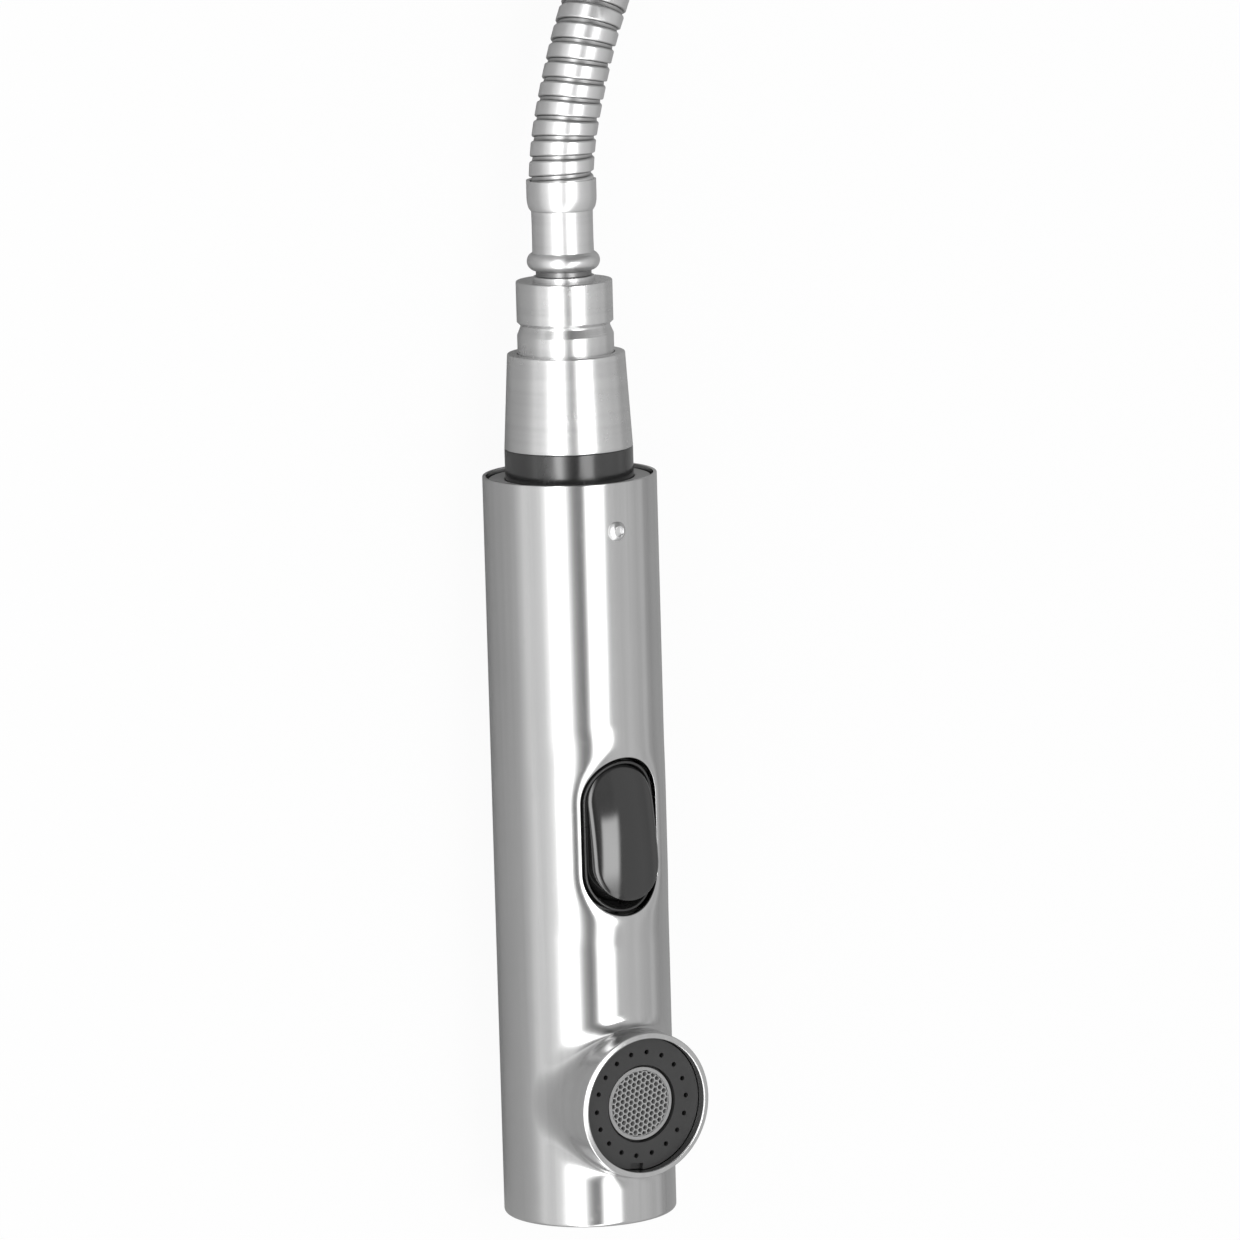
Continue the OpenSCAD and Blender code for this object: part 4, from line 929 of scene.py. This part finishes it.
BEZEL_R = 18.6  # radius that its top follows
bezel_outline = rounded([
    (-0.15, -9), (0.9, -9), (0.9, -3.5), (0.4, -3.5), (0.4, -0.25, 0.2), (-0.15, -0.5, 0.15)], True, 5)
offset, height = bezel_outline[:, 0], bezel_outline[:, 1:]
x, y = round_oval(16.2, 8.6, offset)
x = x * 0.985 + WINDOW_X
z = np.where(height < -5, 6, np.sqrt(BEZEL_R**2 - x**2) + height)
make_piece("bezel_skin", [place(upright(BUTTON_T), x, y, z)], bezel_black, "handset",
           ["button_bezel"])

# %% [markdown]
# The rocker is the glossy button that a thumb tips to change the spray. For it the
# offset runs all the way in to the middle line, and the height follows a crown,
# round across and slightly round along. Sculpting could shape it too, but gloss
# shows every bump, and a formula has none.
# %% Rocker
ROCKER_L, ROCKER_W = 14.85, 8.2  # half of its length and of its width
CROWN_H, CROWN_R, LONG_R = 8.4, 21, 105
FOOT = -1.0
PIN_H = 12.2  # the pin above the barrel's axis
TILT = math.radians(-8.3)


def rocker_skin(rings=18):
    """Height = crown(x) - y^2 / 2 / 105 - what the edge takes off, a small arc and
    a slope of 20 degrees more; then the whole rocker leans 8.3 degrees about its pin."""
    edge = np.array([  # distance from the edge, height taken off
        (0, 3), (0, 1.0), (0, 0.36), (0.02, 0.29), (0.07, 0.24), (0.14, 0.205), (0.35, 0.125),
        (0.56, 0.05), (0.68, 0.018), (0.8, 0.004), (0.95, 0)])
    inmost = edge[-1, 0]
    inset = np.concatenate([[0], -edge[:, 0], -inmost - (ROCKER_W - inmost) * np.linspace(0.03, 1, rings)])
    taken = np.concatenate([[0], edge[:, 1], np.zeros(rings)])
    x, y = round_oval(ROCKER_L, ROCKER_W, inset)
    crown = CROWN_H - CROWN_R + np.sqrt(CROWN_R**2 - x**2) - x**4 * 4e-5 - y**2 / (2 * LONG_R)
    z = crown - taken[:, None]
    z[0] = FOOT

    def lean(a, b, c):
        forward = b * math.cos(TILT) - c * math.sin(TILT)
        return place(upright(BUTTON_T), a, forward, PIN_H + b * math.sin(TILT) + c * math.cos(TILT))

    floor_x, floor_y = round_oval(ROCKER_L, ROCKER_W, np.array([0.0, -ROCKER_W]))
    return [lean(x, y, z), lean(floor_x, floor_y, FOOT + 0 * floor_x)]


make_piece("rocker_skin", rocker_skin(), gloss_black, "rocker", ["mode_rocker"], 60)

# %% [markdown]
# The water leaves the middle through a honeycomb that straightens it. It is one
# lattice of six-sided cells cut off by a circle, so each cell is a short six-sided
# tube, and corners outside the circle are pulled in to it. An Array modifier could
# repeat one cell, but not trim the outer ones.
# %% Honeycomb
def comb_cells(pitch=1.3, web=0.27, radius=7.3, low=19.1, high=22.0):
    """Cell centres = pitch * (i a + j b), two directions 60 degrees apart. Corners
    lie (pitch / sqrt 3) out; the hole's corners lie (pitch - web) / sqrt 3 out."""
    lean = math.radians(12)
    a, b = ([math.sin(lean + k), math.cos(lean + k)] for k in (0, math.pi / 3))
    i, j = np.meshgrid(np.arange(-8, 9), np.arange(-8, 9))
    centre = pitch * (i.reshape(-1, 1) * np.array(a) + j.reshape(-1, 1) * np.array(b))
    centre = centre[np.hypot(*centre.T) < radius + 0.2 * pitch]
    angle = lean + math.pi / 6 + np.arange(7) * math.pi / 3
    spoke = np.stack([np.sin(angle), np.cos(angle)], -1)
    cell, hole = (pitch - 0.004, 0), (pitch - web, web / 2)
    rings = []
    for (size, limit), z in ((cell, high), (hole, high), (hole, low), (cell, low)):
        corner = centre[:, None] + spoke * size / math.sqrt(3)
        reach = np.hypot(corner[..., 0], corner[..., 1])
        corner = corner * (np.minimum(reach, radius - limit) / reach)[..., None]
        rings.append(np.concatenate([corner, np.full(corner.shape[:2] + (1,), z)], -1))
    cells = np.stack(rings + rings[:1], 1)
    return [place(upright(OUTLET_T), c[..., 0], c[..., 1], c[..., 2]) for c in cells]


make_piece("honeycomb_skin", comb_cells(), comb_grey, "handset", ["aerator_honeycomb"], 30)

# %% [markdown]
# A small spring holds the check valve shut. It is steel wire wound in a helix, and
# it has to shorten when the valve opens: one end stays with the cage, and the other
# goes with the poppet, so it is attached to neither body here.
# %% Check spring
def wire_helix(turns=6, radius=2.3, wire=0.3, low=170.143, high=181.657):
    """Centre = (radius cos a, radius sin a, climb a); the wire's circle is spanned
    by the outward spoke and the direction square to it and to the wire."""
    a = np.linspace(0, 2 * math.pi * turns, 24 * turns + 1)[:, None]
    v = np.linspace(0, 2 * math.pi, 13)
    climb = (high - low) / (2 * math.pi * turns)
    steep = climb / math.hypot(climb, radius)
    level = math.sqrt(1 - steep**2)
    rings = []
    for size in (0, wire):
        out, rise = size * np.cos(v), size * np.sin(v)
        x = (radius + out) * np.cos(a) + rise * steep * np.sin(a)
        y = (radius + out) * np.sin(a) - rise * steep * np.cos(a)
        rings.append(place(barrel_axis, x, y, low + climb * a + rise * level))
    core, outer = rings
    return [outer, np.stack([core[0], outer[0]]), np.stack([core[-1], outer[-1]])]


spring = make_piece("check_spring_skin", wire_helix(), spring_steel, None,
                    ["check_valve_spring"], 60)
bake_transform(spring)

# %% [markdown]
# The remaining solids already have the right shape, so they keep their mesh and
# only take a finish.
# %% Finishes for the frame's own solids
finishes = {
    spring_steel: ["inlet_strainer", "aerator_screens"],
    brass: ["diverter_spool"],
    polished_steel: ["rocker_pin"],
    charcoal: ["spray_face", "spray_body"],
    cup_grey: ["aerator_housing"],
    grey_plastic: ["valve_body"],
    white_plastic: ["check_valve_cage", "check_valve_poppet"],
    rubber: ["face_seal", "aerator_washer", "body_seal", "transfer_seals", "spool_seals",
             "hose_washer", "swivel_o_ring", "supply_washer"],
}
for material, names in finishes.items():
    for name in names:
        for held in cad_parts[name].material_slots:
            held.material = material
print("finished", sum(map(len, finishes.values())), "solids")

# %% [markdown]
# The table is pale and the room is white. Metal needs something to mirror, so the
# room as seen in reflections holds what a studio puts round a product: a large
# soft light at the left, a second one overhead, and grey card at the right. The
# dark gap between the lights is where the camera stands. Real cards and lamps
# would do the same, but a world costs no extra objects.
# %% Room
PEAK = 4.8  # the brightest part of the room
studio_tones = [  # degrees from straight up, positive to the right, and brightness
    (-180, 0.5), (-95, 0.84), (-80, 0.88), (-72, 0.95), (-67, 1.2), (-62, 1.7), (-58, 3.0),
    (-54, PEAK), (-46, PEAK), (-42, 3.0), (-38, 1.7), (-34.5, 0.95), (-31, 0.55), (-26, 0.32),
    (-20, 0.22), (-15, 0.22), (-10, 0.5), (14, 0.5), (20, 0.64), (48, 0.66), (58, 0.58), (64, 0.52),
    (70, 0.6), (76, 0.6), (81, 0.45), (86, 0.42), (100, 0.4), (180, 0.45)]


def ray_kinds(sheet):
    """1 for a ray from the camera, off a glossy skin, or through a clear one."""
    return sheet.node("LightPath").siblings(0, 3, 6)


def room():
    """World colour by the angle of a direction round the barrel's axis, 0 straight
    up and positive to the right, for reflections; plain light for matt surfaces."""
    world = bpy.data.worlds.new("room")
    bpy.context.scene.world = world
    sheet = Sheet(world)
    where = sheet.node("TexCoord", out=0)
    x, along, z = sheet.node("SeparateXYZ", None, {"Vector": where}).siblings(0, 1, 2)
    angle = sheet.maths("ARCTAN2", x, z) * (0.5 / math.pi) + 0.5
    stops = [((degrees + 180) / 360, tone / PEAK) for degrees, tone in studio_tones]
    studio = sheet.node("ValToRGB", {"stops": stops}, {0: angle})
    shade = 1 - 0.6 * along.clipped(0.3, 0.8)
    slant = angle - (sheet.maths("MINIMUM", along, 0.3) + 0.165) * 0.06
    top = (slant - 164.5 / 360).clipped(0, 6 / 360) * (195.5 / 360 - slant).clipped(0, 7 / 360)
    top = top * (1 - along.clipped(0.12, 0.16)) * (1.9 + 3.2 * along.clipped(-0.15, -0.06))

    def light(colour, strength):
        return sheet.node("Background", None, {"Color": colour, "Strength": strength})

    camera_ray, glossy_ray, clear_ray = ray_kinds(sheet)
    mirrored = sheet.node("AddShader", None, {0: light(studio, PEAK * shade), 1: light(grey(1.0), top)})
    lit = sheet.node("MixShader", None, {0: glossy_ray, 1: light(grey(1.0), 0.72), 2: mirrored})
    seen = sheet.maths("MAXIMUM", camera_ray, clear_ray)
    shown = sheet.node("MixShader", None, {0: seen, 1: lit, 2: light(grey(1.0), 1.0)})
    sheet.node("OutputWorld", None, {"Surface": shown})
    print("room", len(sheet.tree.nodes), "nodes")


room()

# %% [markdown]
# The table is matt and pale. It keeps the soft shadow that seats the object, and
# most of its tone is the room's own white, so it fades out into the background.
# %% Table
def table_top(half=6):
    """A wide square, pale, that the camera sees nearly as the room's white. As
    mirrored in steel it carries painted shade: darker beside the object, lighter to the left."""
    mesh = bpy.data.meshes.new("table")
    corners = [(-half, -half, 0), (half, -half, 0), (half, half, 0), (-half, half, 0)]
    mesh.from_pydata(corners, [], [(0, 1, 2, 3)])
    material, sheet = new_sheet("pale_table")
    fine = noise(sheet, (400, 400, 400))
    camera_ray, glossy_ray, clear_ray = ray_kinds(sheet)
    left = 0 - sheet.node("SeparateXYZ", None, {"Vector": sheet.node("TexCoord", out=3)})
    # Painted shade: in reflections the table turns grey (0.4) beside the object, and lighter to the left.
    near = 1 - left.clipped(0.0, 0.26)
    pale = sheet.blend(fine, grey(0.78), grey(0.82))
    matt = sheet.node("BsdfDiffuse", None, {"Color": sheet.blend(near * glossy_ray, pale, grey(0.4))})
    white = sheet.node("Emission", None, {"Color": grey(1.0), "Strength": 1.0})
    share = camera_ray * 0.94 + glossy_ray * (1 - near) * 0.3 + clear_ray * 0.9
    finish_with("pale_table", sheet, sheet.node("MixShader", None, {0: share, 1: matt, 2: white}))
    mesh.materials.append(material)
    top = bpy.data.objects.new("table", mesh)
    bpy.context.collection.objects.link(top)


table_top()

# %% [markdown]
# Two soft lamps throw the shadows, which a world alone leaves too faint. They are
# hidden from the camera and from reflections, where the room has its own lights.
# %% Lamps
def softbox(name, centre, size, power, aim=(0, 0.1, 0)):
    """A rectangular lamp that looks at a point."""
    lamp = bpy.data.lights.new(name, "AREA")
    lamp.shape = "RECTANGLE"
    lamp.size, lamp.size_y = size
    lamp.energy = power
    back = np.subtract(centre, aim)
    back /= np.linalg.norm(back)
    side = np.cross(Y, back)
    side /= np.linalg.norm(side)
    thing = bpy.data.objects.new(name, lamp)
    thing.matrix_world = stand(side, np.cross(back, side), back, centre)
    thing.visible_camera = False
    thing.visible_glossy = False
    bpy.context.collection.objects.link(thing)
    print(name, power, "W")


softbox("left_softbox", (-1.1, 0.1, 0.9), (0.7, 1.6), 5)
softbox("top_softbox", (0.15, 0.1, 1.5), (0.8, 1.6), 6)
